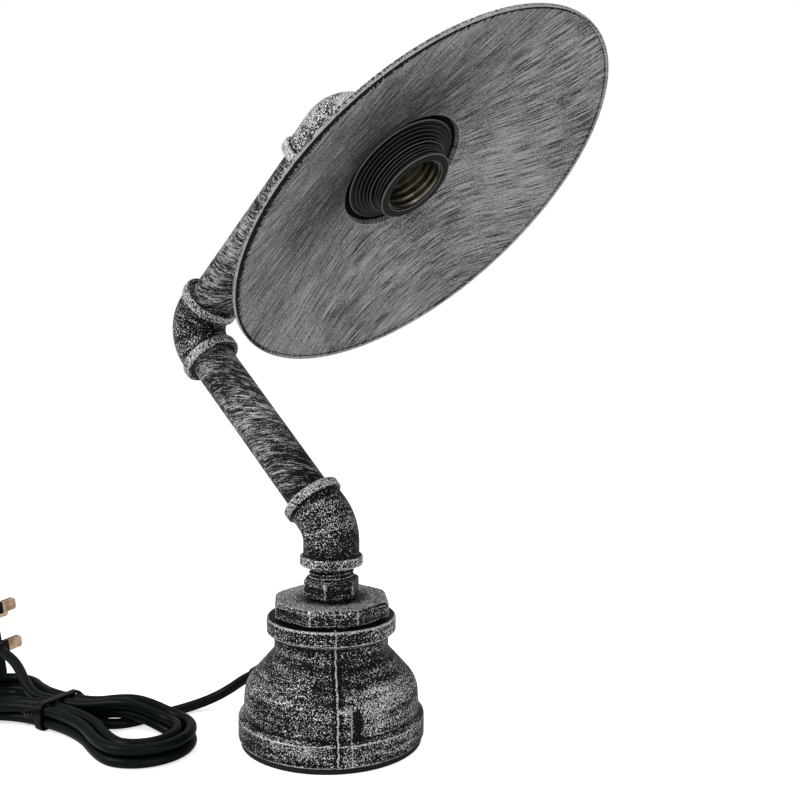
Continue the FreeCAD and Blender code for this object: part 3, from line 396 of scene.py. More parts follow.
def cast_iron(tree, spot, cover=0.0, smooth=False):
    """Sand-cast iron, sprayed black and dry-brushed with silver by hand: the silver catches only the grain's
    tops and every proud edge, and drags sideways over the flanks, so black stays in the pits and hollows.
    Painted shade from the wear attribute darkens it further, and painted highlights add silver."""
    brush = add(tree, "Attribute", out="Vector", attribute_name="brush")
    wear = add(tree, "Attribute", out="Fac", attribute_name="wear")
    # Sand grain is 0.3 mm and would not show, so the specks are drawn at about 0.6 mm
    grit = 1 / bpy.context.scene.lamp_sizes.speck
    fine = add(tree, "TexNoise", {"Vector": spot, "Scale": grit, "Detail": 3.0, "Roughness": 0.56})
    # The specks run together along winding lines, where a noise of 1 mm crosses its middle
    worm = add(tree, "TexNoise", {"Vector": spot, "Scale": 0.62 * grit})
    worm = add(tree, "Math", (worm, 0.5), operation="SUBTRACT")
    worm = add(tree, "Math", (worm,), operation="ABSOLUTE")
    # The hand came back to some patches of 20 mm more than to others
    patch = add(tree, "TexNoise", {"Vector": spot, "Scale": 48.0})
    # The dry brush went round the piece, in bands 3 mm wide with hairs 0.7 mm apart
    drag = add(tree, "TexNoise", {"Vector": brush, "Scale": 320.0, "Roughness": 0.55})
    hair = add(tree, "TexNoise", {"Vector": brush, "Scale": 1400.0, "Detail": 3.0, "Roughness": 0.6})
    weights = [(patch, -0.18), (drag, -0.32), (hair, -0.22), (wear, -0.19), (worm, 0.55)]
    band, relief = 0.04, 0.45
    if smooth:
        # Painted light: faces turned upwards, as on the flat top, get more silver than the sides
        painted_top_light = add(tree, "SeparateXYZ", (add(tree, "TexCoord", out="Normal"),), "Z")
        painted_top_light = add(tree, "MapRange", (painted_top_light, 0.6, 0.95), **EASED)
        weights = [(patch, -0.10), (drag, -0.22), (hair, -0.22), (wear, -0.19), (worm, 0.55),
                   (painted_top_light, -0.115)]
        band, relief = 0.08, 0.25
    # Silver lies where the fine grain stands above a level, which each pattern moves by its weight
    level = 0.913 - cover
    for pattern, weight in weights:
        level = add(tree, "Math", (pattern, weight, level), operation="MULTIPLY_ADD")
    low = add(tree, "Math", (level, band), operation="SUBTRACT")
    high = add(tree, "Math", (level, band), operation="ADD")
    silver = add(tree, "MapRange", (fine, low, high), **EASED)
    # Both coats are darker in the grain's pits
    pits = add(tree, "MapRange", (fine, 0.3, 0.6), **EASED)
    tops = add(tree, "MapRange", (fine, 0.48, 0.64), **EASED)
    black, bright = user_colour("paint"), user_colour("silver")
    deep = {FACTOR: pits, FIRST: scaled(black, 0.3), SECOND: scaled(black, 1.3)}
    deep = add(tree, "Mix", deep, MIXED, data_type="RGBA")
    thick = {FACTOR: tops, FIRST: scaled(bright, 0.5), SECOND: bright}
    thick = add(tree, "Mix", thick, MIXED, data_type="RGBA")
    tone = add(tree, "Mix", {FACTOR: silver, FIRST: deep, SECOND: thick}, MIXED, data_type="RGBA")
    rough = add(tree, "Math", (silver, -0.08, 0.52), operation="MULTIPLY_ADD")
    proud = add(tree, "Math", (fine, silver), operation="ADD")
    bump = add(tree, "Bump", {"Height": proud, "Strength": relief, "Distance": 0.35 * MM})
    return {"Base Color": tone, "Metallic": 0.20, "Roughness": rough, "IOR": 1.45,
            "Specular IOR Level": 0.12, "Normal": bump}


def dragged_paint(tree, spot, light, dark, gain, wide, specks, cover, spread):
    """Steel under black paint with silver pulled over it by a nearly dry brush: long hair-fine strokes that
    follow the hand, lighter where the brush was pressed, with dark hairs between them. Gain, wide and specks
    weigh the fine strokes, the broad ones and the grain, cover adds silver and spread softens its edge."""
    brush = add(tree, "Attribute", out="Vector", attribute_name="brush")
    wear = add(tree, "Attribute", out="Fac", attribute_name="wear")
    # A bristle's mark is 0.2 mm wide and would not show, so the strokes are drawn at 0.4 to 0.6 mm
    fine = 1 / bpy.context.scene.lamp_sizes.stroke
    hair = add(tree, "TexNoise", {"Vector": brush, "Scale": fine, "Detail": 4.0, "Roughness": 0.68})
    broad = add(tree, "TexNoise", {"Vector": brush, "Scale": 0.16 * fine, "Roughness": 0.55})
    # Pressure changed over 40 mm, and the paint's own grain, drawn at 0.7 mm, shows through
    patch = add(tree, "TexNoise", {"Vector": spot, "Scale": 26.0})
    speck = add(tree, "TexNoise", {"Vector": spot, "Scale": 1500.0, "Roughness": 0.6})
    weights = [(hair, 1.25 * gain), (broad, wide), (patch, 0.3), (speck, specks)]
    # Every pattern varies about a half, so half their weights is where the silver covers half
    middle = sum(weight for _, weight in weights) / 2 - cover
    pressed = 0.0
    for pattern, weight in weights + [(wear, 0.35)]:
        pressed = add(tree, "Math", (pattern, weight, pressed), operation="MULTIPLY_ADD")
    silver = add(tree, "MapRange", (pressed, middle - spread, middle + spread), **EASED)
    # Where the brush never reached, and where shade is painted black, the ground coat stays black up to a
    # ragged edge of hairs 1.2 mm apart
    comb = add(tree, "Attribute", out="Fac", attribute_name="comb")
    teeth = {"W": comb, "Scale": 800.0, "Roughness": 0.7}
    teeth = add(tree, "TexNoise", teeth, noise_dimensions="1D")
    unbrushed_and_shade_mask = add(tree, "Attribute", out="Fac", attribute_name="dark")
    unbrushed_or_shaded = 0.0
    for pattern, weight in ((unbrushed_and_shade_mask, 1.9), (hair, 0.4), (teeth, 1.8)):
        unbrushed_or_shaded = add(tree, "Math", (pattern, weight, unbrushed_or_shaded), operation="MULTIPLY_ADD")
    unbrushed_or_shaded = add(tree, "MapRange", (unbrushed_or_shaded, 1.75, 1.9), **EASED)
    tone = {FACTOR: silver, FIRST: linear(dark), SECOND: linear(light)}
    tone = {FACTOR: unbrushed_or_shaded, FIRST: add(tree, "Mix", tone, MIXED, data_type="RGBA"), SECOND: linear("#020202")}
    tone = add(tree, "Mix", tone, MIXED, data_type="RGBA")
    metal = add(tree, "Math", (unbrushed_or_shaded, -0.20, 0.20), operation="MULTIPLY_ADD")
    rough = add(tree, "Math", (silver, -0.10, 0.55), operation="MULTIPLY_ADD")
    rough = add(tree, "Math", (unbrushed_or_shaded, 0.35, rough), operation="MULTIPLY_ADD")
    bump = add(tree, "Bump", {"Height": hair, "Strength": 0.30, "Distance": 0.25 * MM})
    return {"Base Color": tone, "Metallic": metal, "Roughness": rough, "IOR": 1.45,
            "Specular IOR Level": 0.15, "Normal": bump}


def moulded_phenolic(tree, spot):
    """Phenolic lampholder, compression-moulded: deep black with a low even gloss and faint flow marks, with
    painted highlights as pale lines along the crests of its rings and threads."""
    # Flow marks 6 mm apart, and a fine skin drawn at 0.7 mm so that it shows
    flow = add(tree, "TexNoise", {"Vector": spot, "Scale": 160.0, "Detail": 3.0})
    grain = add(tree, "TexNoise", {"Vector": spot, "Scale": 1500.0, "Roughness": 0.6})
    wear = add(tree, "Attribute", out="Fac", attribute_name="wear")
    # Painted highlights: pale lines along the crests, from the wear attribute
    crest_highlight = add(tree, "Math", (wear, 0.75), operation="MULTIPLY", use_clamp=True)
    tone = {FACTOR: flow, FIRST: linear("#010101"), SECOND: linear("#050506")}
    tone = {FACTOR: crest_highlight, FIRST: add(tree, "Mix", tone, MIXED, data_type="RGBA"), SECOND: linear("#7d7d78")}
    bump = add(tree, "Bump", {"Height": grain, "Strength": 0.12, "Distance": 0.1 * MM})
    return {"Base Color": add(tree, "Mix", tone, MIXED, data_type="RGBA"), "Roughness": 0.42, "IOR": 1.55,
            "Specular IOR Level": 0.05, "Normal": bump}


def fired_steatite(tree, spot):
    """Steatite block, pressed and fired: off-white, mottled over 4 mm, with a soft wax-like sheen."""
    cloud = add(tree, "TexNoise", {"Vector": spot, "Scale": 260.0, "Detail": 3.0, "Roughness": 0.6})
    tone = {FACTOR: cloud, FIRST: linear("#cfc9bb"), SECOND: linear("#e9e4d8")}
    bump = add(tree, "Bump", {"Height": cloud, "Strength": 0.15, "Distance": 0.2 * MM})
    return {"Base Color": add(tree, "Mix", tone, MIXED, data_type="RGBA"), "Roughness": 0.38, "IOR": 1.6,
            "Normal": bump}


def bare_metal(tree, spot, light, dark, rough):
    """Bare drawn, rolled or turned metal: fine tool marks, a little darker where hands and air dulled it."""
    # Dulled over 10 mm, and tool marks of 0.1 mm drawn at 0.6 mm so that they show
    stain = add(tree, "TexNoise", {"Vector": spot, "Scale": 105.0, "Detail": 3.0, "Roughness": 0.6})
    marks = add(tree, "TexNoise", {"Vector": spot, "Scale": 1680.0})
    dulled = add(tree, "MapRange", (stain, 0.35, 0.65), **EASED)
    tone = {FACTOR: dulled, FIRST: linear(light), SECOND: linear(dark)}
    gloss = add(tree, "Math", (marks, 0.18, rough - 0.09), operation="MULTIPLY_ADD")
    bump = add(tree, "Bump", {"Height": marks, "Strength": 0.12, "Distance": 0.1 * MM})
    return {"Base Color": add(tree, "Mix", tone, MIXED, data_type="RGBA"), "Metallic": 1.0,
            "Roughness": gloss, "Normal": bump}


def soft_pvc(tree, spot, dark, rough=0.42):
    """Extruded or moulded soft PVC: dark, slightly green, broad soft highlights over a faint orange peel."""
    # Handled over 14 mm, and an orange peel of 0.7 mm
    handled = add(tree, "TexNoise", {"Vector": spot, "Scale": 70.0, "Detail": 3.0, "Roughness": 0.55})
    peel = add(tree, "TexNoise", {"Vector": spot, "Scale": 1400.0})
    tone = {FACTOR: handled, FIRST: dark, SECOND: scaled(dark, 1.7, 0.0006)}
    gloss = add(tree, "Math", (handled, 0.16, rough - 0.08), operation="MULTIPLY_ADD")
    bump = add(tree, "Bump", {"Height": peel, "Strength": 0.10, "Distance": 0.08 * MM})
    return {"Base Color": add(tree, "Mix", tone, MIXED, data_type="RGBA"), "Roughness": gloss, "IOR": 1.53,
            "Specular IOR Level": 0.085, "Normal": bump}


def cut_foam(tree, spot):
    """Closed-cell foam ring glued under the foot: matt black, with the open skin of cut cells."""
    # Cells of 0.4 mm would not show, so they are drawn at 0.8 mm
    cells = add(tree, "TexVoronoi", {"Vector": spot, "Scale": 1300.0}, "Distance")
    tone = {FACTOR: cells, FIRST: linear("#060607"), SECOND: linear("#131315")}
    bump = add(tree, "Bump", {"Height": cells, "Strength": 0.5, "Distance": 0.2 * MM})
    return {"Base Color": add(tree, "Mix", tone, MIXED, data_type="RGBA"), "Roughness": 0.92, "IOR": 1.45,
            "Normal": bump}


def white_paper(tree, spot):
    """Matt white paper, its tone drifting over 120 mm, lit a little more for the eye only, so that it reads
    as white and keeps the shadow."""
    cloud = add(tree, "TexNoise", {"Vector": spot, "Scale": 8.0, "Roughness": 0.6})
    tone = {FACTOR: cloud, FIRST: linear("#f2f2f2"), SECOND: linear("#f6f6f6")}
    glow = add(tree, "Math", (add(tree, "LightPath", out="Is Camera Ray"), 0.62), operation="MULTIPLY")
    return {"Base Color": add(tree, "Mix", tone, MIXED, data_type="RGBA"), "Roughness": 0.9, "IOR": 1.3,
            "Emission Color": (1, 1, 1, 1), "Emission Strength": glow}


# Pieces. An outline is a closed list of corners (along, out, rounding).

def seam_and_lug(along, out, wear, angle):
    """Change for the bell, alike on both sides: out grows by 0.68 mm on a narrow wavering fin at the seam,
    and to the lug's radius on a wider hump beside it. Fin and lug are worn along their edges."""
    skin_side = out > np.interp(along, [PAD_TOP, 28.5, 41.7, 46.5, BELL_TOP], [38, 37.5, 24, 25, 25])

    def beside(azimuth):
        return (np.mod(angle - np.radians(azimuth) + np.pi / 2, np.pi) - np.pi / 2) * out

    seam = beside(SEAM_AZIMUTH) + 0.16 * np.sin(along * 1.3) + 0.1 * np.sin(along * 3.1)
    lug = beside(LUG_AZIMUTH)
    fin = crest(seam, 1.3, 0.42) * skin_side
    side = crest(lug, 1.9, 2.0)
    hump = side * side * (3 - 2 * side) * ramp(LUG_TOP - along, 1.6) * (along > 12) * skin_side
    raised = np.maximum(out + 0.68 * fin, out + np.maximum(LUG_RADIUS - out, 0) * hump)
    raised = raised + 0.35 * side * skin_side * ramp(BEAD_TOP - along, 0.8)
    rim = crest(lug - 2.7, 1.2, 0.42) * skin_side * (along < 28.5)
    top = hump * crest(along - 27.4, 1, 1.0)
    # Painted shade: dark strips beside the fin and the lug, and black on the mouth where the octagon bush
    # sits over it
    hollow = crest(seam, 1.1, 2.6) * 0.65 * (along < 50)
    hollow = np.maximum(hollow, crest(lug - 5.4, 1.1, 3.0, 0.8) * (along < 27) * (along > 14))
    hollow = np.maximum(hollow, 1.6 * (along > 58.7) * (out < 29.2)) * (fin + rim + top < 0.1)
    # A painted highlight: more silver on one flank, centred at -14 degrees; the neck is left with less silver
    flank_highlight = np.exp(-((np.mod(angle - np.radians(-14) + np.pi, 2 * np.pi) - np.pi) / 0.42) ** 2)
    hollow = hollow - 0.42 * flank_highlight * np.exp(-((along - 31) / 9.5) ** 2) * skin_side
    hollow = hollow + 0.22 * ramp(along - 31, 9) * (along < 50.5) * skin_side
    edges = np.maximum.reduce([fin, rim, top])
    return along, raised, np.where(edges > 0.05, np.maximum(wear, edges), wear - hollow)


def octagon_flats(along, out, wear, angle):
    """Change for the octagon: its flats, and a painted shadow, dark round the foot of the nut on top."""
    along, out, wear = flats(8, OCTAGON_FLATS, OCTAGON_AZIMUTH, TOP_BORE)(along, out, wear, angle)
    return along, out, wear - 0.8 * ramp(18.5 - out, 5) * (along > OCTAGON_TOP - 0.4)


class LAMP_OT_foot(bpy.types.Operator):
    """Bell-shaped foot with its mould seam and lugs, octagon bush and black pad."""

    bl_idname = "lamp.foot"
    bl_label = "Foot"

    def execute(self, context):
        # The grid's turns lie closer together across the two seams and lugs
        near = [np.radians(azimuth + np.linspace(-7, 7, 57)) for azimuth in (-46, 134)]
        whole = np.linspace(-np.pi, np.pi, 240, endpoint=False)
        turns = np.unique(np.round(np.concatenate([whole] + near), 5))
        outline = [(PAD_TOP, FOOT_BORE), (PAD_TOP, BEAD_RADIUS, 1.2), (BEAD_TOP, BEAD_RADIUS, 1.1),
                   (BODY_FOOT, BODY_RADIUS, 1.0), (SHOULDER, SHOULDER_RADIUS, 14.0), (NECK, NECK_RADIUS, 3.0),
                   (50.0, NECK_RADIUS, 1.2), (BAND_FOOT, BAND_RADIUS, 1.1), (BELL_TOP, BAND_RADIUS, 1.2),
                   (BELL_TOP, TOP_BORE), (46.5, TOP_BORE), (46.5, WATERWAY), (41.7, WATERWAY),
                   (28.5, HOLLOW_RADIUS, 9.0), (21.0, HOLLOW_RADIUS), (21.0, FOOT_BORE)]
        bell = turned("bell_casting", outline, GROUND, UP, step=0.9, turns=turns, change=seam_and_lug)
        dress(bell, material("dry_brushed_cast_iron", cast_iron), "base", "cast_paint", "base_bell")
        full = corner_radius(8, OCTAGON_FLATS)
        bush = [(46.9, 16.2), (46.9, 23.8, 0.6), (60.4, 23.8), (60.4, full, 0.5), (65.9, full, 0.4),
                (OCTAGON_TOP, full - 1.5, 0.8), (OCTAGON_TOP, 12.0, 0.4), (66.8, 10.9), (54.0, 10.9),
                (52.0, 15.4)]
        octagon = turned("octagon_bush", bush, GROUND, UP, count=256, step=0.8, change=octagon_flats)
        iron = material("dry_brushed_octagon", cast_iron, 0.058, True)
        dress(octagon, iron, "base", "cast_paint", "reducing_bush")
        paint_nodes(material("cut_foam_black", cut_foam), "foot_pad")
        return {"FINISHED"}


class LAMP_OT_nipple(bpy.types.Operator):
    """Hex nipple with its pipe threads."""

    bl_idname = "lamp.nipple"
    bl_label = "Hex nipple"

    def execute(self, context):
        iron = material("dry_brushed_nipple", cast_iron, -0.055)
        full = corner_radius(6, HEX_FLATS)
        hexagon = [(68.2, 11.0), (68.2, full - 0.9, 0.3), (69.0, full, 0.3), (75.8, full, 0.3),
                   (76.6, full - 0.9, 0.3), (76.6, 11.0)]
        squeeze = flats(6, HEX_FLATS, HEX_AZIMUTH, 11.2)
        nut = turned("nipple_hexagon", hexagon, GROUND, UP, step=0.6, change=squeeze)
        dress(nut, iron, "base", "cast_paint", "hex_nipple")
        pipe = [(57.0, 7.0), (57.0, NIPPLE_RADIUS, 0.5), (93.1, NIPPLE_RADIUS, 0.5), (93.1, 7.0)]
        stem = turned("nipple_threads", pipe, GROUND, UP, count=120, step=0.2,
                      change=threads(PIPE_THREAD, 1.1, 76.0, 84.0, NIPPLE_RADIUS))
        dress(stem, iron, "base", "cast_paint", "hex_nipple")
        return {"FINISHED"}


class LAMP_OT_elbows(bpy.types.Operator):
    """The three banded elbows of the arm."""

    bl_idname = "lamp.elbows"
    bl_label = "Elbows"

    def execute(self, context):
        iron = material("dry_brushed_elbow_iron", cast_iron, -0.03)
        # The head elbow gets more silver than the other two, a painted highlight
        highlit_iron = material("silvered_elbow_iron", cast_iron, 0.085)
        foot = elbow("foot_elbow", FOOT_CORNER, DOWN, LOWER, FACE_45, FACE_45, BEND_45)
        middle = elbow("middle_elbow", MIDDLE_CORNER, -LOWER, UPPER, FACE_90, FACE_90, BEND_90)
        head = elbow("head_elbow", HEAD_CORNER, -UPPER, SHADE, HEAD_LEG, FACE_90, BEND_90)
        dress(foot, iron, "lower_arm", "cast_paint", "elbow_foot")
        dress(middle, iron, "upper_arm", "cast_paint", "elbow_middle")
        dress(head, highlit_iron, "head", "cast_paint", "elbow_head")
        return {"FINISHED"}


def slant(lean):
    """Strokes on slanted rings round a pipe: along plus a share of the radius times the sine of the angle,
    with the waver of a hand."""
    def strokes(along, out, angle):
        swing = along + lean * out * np.sin(angle + 0.6) + 1.2 * np.sin(along / 9.0)
        return round_marks(swing, 0.13 * out, angle)
    return strokes


def painted_pipe_shade(along, out, wear, angle):
    """Painted shade on the lower pipe: darker near its foot, and a little again at 86 mm."""
    return 0 * out, wear - 0.45 * ramp(52 - along, 30) - 0.30 * np.exp(-((along - 86) / 10) ** 2)


class LAMP_OT_pipes(bpy.types.Operator):
    """The two straight pipes."""

    bl_idname = "lamp.pipes"
    bl_label = "Pipes"

    def execute(self, context):
        paint = material("dragged_pipe_paint", dragged_paint, "#bdbec0", "#0a0b0c",
                         1.3, 0.5, 0.75, -0.125, 0.20)
        radius = context.scene.lamp_sizes.pipe / 2 / MM
        spans = (("lower", FOOT_CORNER, LOWER, 7.5, 115.4, 0.75, painted_pipe_shade),
                 ("upper", MIDDLE_CORNER, UPPER, 11.5, 118.5, -0.6, None))
        for name, corner, way, start, stop, lean, tones in spans:
            outline = [(start, 8.0), (start, radius, 0.4), (stop, radius, 0.4), (stop, 8.0)]
            pipe = turned(name + "_pipe", outline, corner, way, count=96, strokes=slant(lean), tones=tones)
            dress(pipe, paint, name + "_arm", "pipe_paint", "pipe_" + name)
        return {"FINISHED"}


def shade_strokes(along, out, angle):
    """Strokes run across the shade from side to side and spread out past the neck: a stroke keeps the same
    sideways place divided by (1 + distance past the neck / 70), with the waver of a hand."""
    ahead = out * np.cos(angle - np.radians(155))
    aside = out * np.sin(angle - np.radians(155))
    past = 30 * np.logaddexp(0, ahead / 30)
    waver = 2.4 * np.sin(ahead / 27 + aside / 33) + 0.9 * np.sin(ahead / 12 - aside / 19 + 1)
    return np.stack([1.45 * (aside / (1 + past / 70) + waver), 0.042 * ahead, 0 * out], -1)


def shade_tones(along, out, wear, angle):
    """Black in the neck's recess, a painted shadow, and in a band inside the rim, widest on one side, that is
    unbrushed paint and painted shade of the hem; painted shade makes that side of the cone a little darker.
    """
    inside = along > CONE_START + (out - CONE_NECK) * np.tan(CONE_RISE) + 0.45
    side = np.cos(angle + np.radians(100))
    near = np.clip(side * 1.1 + 0.35, 0, 1)
    width = 4.5 * near + 7.0 * np.clip(side, 0, 1) ** 2
    # Unbrushed black inside the rim with a ragged edge, widened on that side into painted shade of the hem
    band = ramp(out - 97.5 + width, 8.0) * (out < 94.8) * inside * (near > 0.02)
    # The hem is black all round outside; its darker inner face on that side is painted shade
    hem_black_and_shade = 0.75 * near * (out > 94.8) * (out < 95.9) * (along > 61.4) + 0.4 * (out > 96.2) * (along < 61.3)
    # Painted shadow: black on the recess's flat floor, fading up its wall
    recess = ramp(40.1 - along, 0.9) * (out < 30.7) * (along > 38.1)
    # Painted shade: the inside of the cone darker on that side, most towards the neck
    darker = 0.75 * np.clip(side, 0, 1) * inside * ramp(95 - out, 60)
    return np.maximum.reduce([band, recess, hem_black_and_shade]), wear - darker


def spinning(along, out, wear, angle):
    """A spun sheet isn't quite true: 0.12 mm waves round the cone, dying out at the neck and the rim."""
    free = ramp(out - 33, 20) * ramp(93 - out, 12)
    return along + 0.12 * free * np.sin(3 * angle + out / 17), out, wear


class LAMP_OT_shade(bpy.types.Operator):
    """Spun shade with its hemmed rim."""

    bl_idname = "lamp.shade"
    bl_label = "Shade"

    def execute(self, context):
        lift = SHEET / np.cos(CONE_RISE)
        outline = [(SHADE_TOP, 18.4), (SHADE_TOP, 29.8, 2.2), (CONE_TOP, 31.2, 1.4),
                   (CONE_END, RIM_RADIUS, 0.8), (RIM_STATION, RIM_RADIUS, 0.6),
                   (RIM_STATION, HEM_RADIUS, 0.5), (CONE_END + lift - 0.15, HEM_RADIUS, 0.4),
                   (CONE_TOP + lift, 30.4, 0.8),
                   (SHADE_TOP + SHEET, 28.9, 1.3), (SHADE_TOP + SHEET, 18.4)]
        shade = turned("spun_shade", outline, HEAD_CORNER, SHADE, count=300, change=spinning,
                       strokes=shade_strokes, tones=shade_tones)
        paint = material("dragged_shade_paint", dragged_paint, "#a2a3a4", "#1f2021",
                         1.45, 0.25, 0.85, 0.0, 0.25)
        dress(shade, paint, "head", "shade_paint", "shade")
        return {"FINISHED"}


def rolled(along, out, wear, angle):
    """Rolled lamp thread: both faces dip inwards together by a cosine wave, once in a pitch."""
    fade = ramp(along - 36.2, 2) * ramp(50.7 - along, 1.2)
    dip = 0.55 * (0.5 - 0.5 * np.cos(2 * np.pi * (along / LAMP_THREAD - angle / (2 * np.pi))))
    return along, out - dip * fade * (out > 13), wear


class LAMP_OT_holder(bpy.types.Operator):
    """Lampholder front with its thread, rolled screw shell, clamp ring and contacts."""

    bl_idname = "lamp.holder"
    bl_label = "Lampholder"

    def execute(self, context):
        black = material("moulded_phenolic_black", moulded_phenolic)
        skirt = [(31.6, 13.8), (31.6, SKIRT_RADIUS, 0.4), (MOUTH, SKIRT_RADIUS, 0.7), (MOUTH, 13.8, 0.4)]
        # A coarse moulded thread, 1.5 mm to a turn
        front = turned("holder_front", skirt, HEAD_CORNER, SHADE, count=144, step=0.18,
                       change=threads(1.5, 0.75, 40.5, 51.4, SKIRT_RADIUS))
        dress(front, black, "head", "holder_black", "holder_skirt")
        ring = [(38.45, 18.0), (38.45, 27.0, 0.4), (41.05, 27.0, 0.6), (41.05, 25.0, 0.2), (41.7, 24.6, 0.2),
                (41.7, 23.3, 0.15), (42.4, 23.0, 0.2), (42.4, 21.9, 0.15), (43.3, 21.5, 0.2),
                (43.3, 20.7, 0.15), (44.4, 20.4, 0.2), (44.4, 19.9, 0.15), (45.65, 19.6, 0.4), (45.65, 18.0)]
        clamp = turned("clamp_ring", ring, HEAD_CORNER, SHADE, step=0.5)
        dress(clamp, black, "ring", "holder_black", "shade_ring")
        shell = [(32.3, 4.6), (32.3, 12.4, 0.5), (35.5, 12.4), (35.5, 13.7), (50.8, 13.7), (50.8, 13.3),
                 (35.9, 13.3), (35.9, 12.0), (32.7, 12.0, 0.3), (32.7, 4.6)]
        lining = turned("rolled_screw_shell", shell, HEAD_CORNER, SHADE, count=128, step=0.4, change=rolled)
        brass = material("rolled_screw_brass", bare_metal, "#7c7669", "#423e36", 0.36)
        dress(lining, brass, "head", "shell_metal", "screw_shell")
        contact = material("stamped_contact_brass", bare_metal, "#c9a868", "#8d7343", 0.36)
        zinc = material("zinc_plated_steel", bare_metal, "#b9bbbd", "#85878a", 0.40)
        paint_nodes(black, "holder_cap", "holder_bush")
        paint_nodes(material("steatite_white", fired_steatite), "holder_insert")
        paint_nodes(contact, "centre_contact", "terminal_screws", "earth_tag")
        paint_nodes(zinc, "threaded_tube", "tube_nut", "earth_screw")
        return {"FINISHED"}


class LAMP_OT_cord(bpy.types.Operator):
    """Mains cord with its hank, tie, gland and plug."""

    bl_idname = "lamp.cord"
    bl_label = "Cord and plug"

    def execute(self, context):
        diameter = context.scene.lamp_sizes.cord
        route = np.vstack([LEAD, hank_loops(), TAIL]) * MM
        curve = bpy.data.curves.new("mains_cord", "CURVE")
        curve.dimensions = "3D"
        line = curve.splines.new("NURBS")
        line.points.add(len(route) - 1)
        line.points.foreach_set("co", np.column_stack([route, np.ones(len(route))]).ravel())
        line.order_u = 3
        line.use_endpoint_u = True
        line.resolution_u = 8
        curve.bevel_depth = diameter / 2
        curve.bevel_resolution = 5
        curve.use_fill_caps = True
        cord = bpy.data.objects.new("mains_cord", curve)
        context.scene.collection.objects.link(cord)
        sheath = user_colour("sheath")
        dress(cord, material("extruded_cord_sheath", soft_pvc, sheath), "base", "cord_black",
              "cord_lead", "cord_hank", "cord_tail")
        coated = material("coated_tie_wire", soft_pvc, linear("#080a09"), 0.34)
        ties = [skin("tie_band", tie_band())] + tie_wires()
        for piece in ties:
            dress(piece, coated, "base", "tie_black", "cord_tie")
        moulded = material("moulded_plug_plastic", soft_pvc, linear("#010803"), 0.36)
        paint_nodes(moulded, "plug_body", "plug_fuse_cover", "strain_relief")
        paint_nodes(material("pin_sleeve_plastic", soft_pvc, linear("#0c0e0d"), 0.4), "plug_pin_sleeves")
        brass = material("milled_pin_brass", bare_metal, "#cdb59a", "#97795f", 0.34)
        paint_nodes(brass, "plug_pin_live", "plug_pin_neutral", "plug_pin_earth")
        paint_nodes(material("fuse_end_caps", bare_metal, "#c2c3c4", "#9a9a98", 0.3), "plug_fuse")
        inner = material("inner_flex_sheath", soft_pvc, sheath)
        paint_nodes(inner, "flex_foot", "flex_lower", "flex_upper", "flex_head")
        paint_nodes(material("earth_core_green", soft_pvc, linear("#3f7d34"), 0.4), "earth_wire")
        return {"FINISHED"}


def nest(number):
    """Rank of a lobe on its side, 0 innermost: they step outwards up to the fifth lobe and back in."""
    return min(number // 2, (LOBES - number) // 2)


def waist_offset(number):
    """Place across the waist of each crossing: alternate sides, stepping out by a pitch and back again."""
    return (nest(number) + 0.5) * HANK_PITCH * (1 if number % 2 == 0 else -1)


def hank_loops():
    """Control points of the eight lobes. A lobe leaves the waist on a wide neck arc of radius
    ((reach - curve)^2 + waist^2 - curve^2) / (2 (curve - waist)), goes round its end arc with six points at
    curve / cos(half step) from the arc's centre, and returns on the other side, humped over the lead. The
    first four lie on the table and the others on them."""
    rows = []
    for number in range(LOBES):
        side = -1.0 if number % 2 == 0 else 1.0
        curve = (13.5 if side < 0 else 16.0) + 5.9 * nest(number)
        reach = (56.0 if side < 0 else 71.0) + 6.6 * nest(number)
        away, back = waist_offset(number), waist_offset(number + 1)
        low = HANK_PITCH * (number > 4)
        high = HANK_PITCH * (number >= 4)
        waists = np.abs([away, back])
        neck = ((reach - curve) ** 2 + waists ** 2 - curve ** 2) / (2 * (curve - waists))
        turn = np.arcsin((reach - curve) / (neck + curve))
        tangent = neck * np.tan(turn / 2)
        rows.append([[side * tangent[0], away, WAIST_HEIGHT + low]])
        whole = np.pi + turn[0] + turn[1]
        share = (np.arange(6) + 0.5) / 6
        swing = np.pi / 2 + turn[0] - whole * share
        out = curve / np.cos(whole / 12)
        arc = [side * (reach - curve + out * np.cos(swing)), np.sign(away) * out * np.sin(swing),
               2.5 + low + (high - low) * share]
        rows.append(np.column_stack(arc))
        if side > 0:
            along = np.array([40.0, 30.0, 13.0])
            bow = back + np.sign(back) * (neck[1] - np.sqrt(neck[1] ** 2 - along ** 2))
            rows.append(np.column_stack([along, bow, high + np.array([8.4, 8.4, 4.4])]))
        else:
            rows.append([[side * tangent[1], back, WAIST_HEIGHT + high]])
    u, v, z = np.vstack(rows).T[..., None]
    return HANK_CENTRE + HANK_U * u + HANK_V * v + UP * z


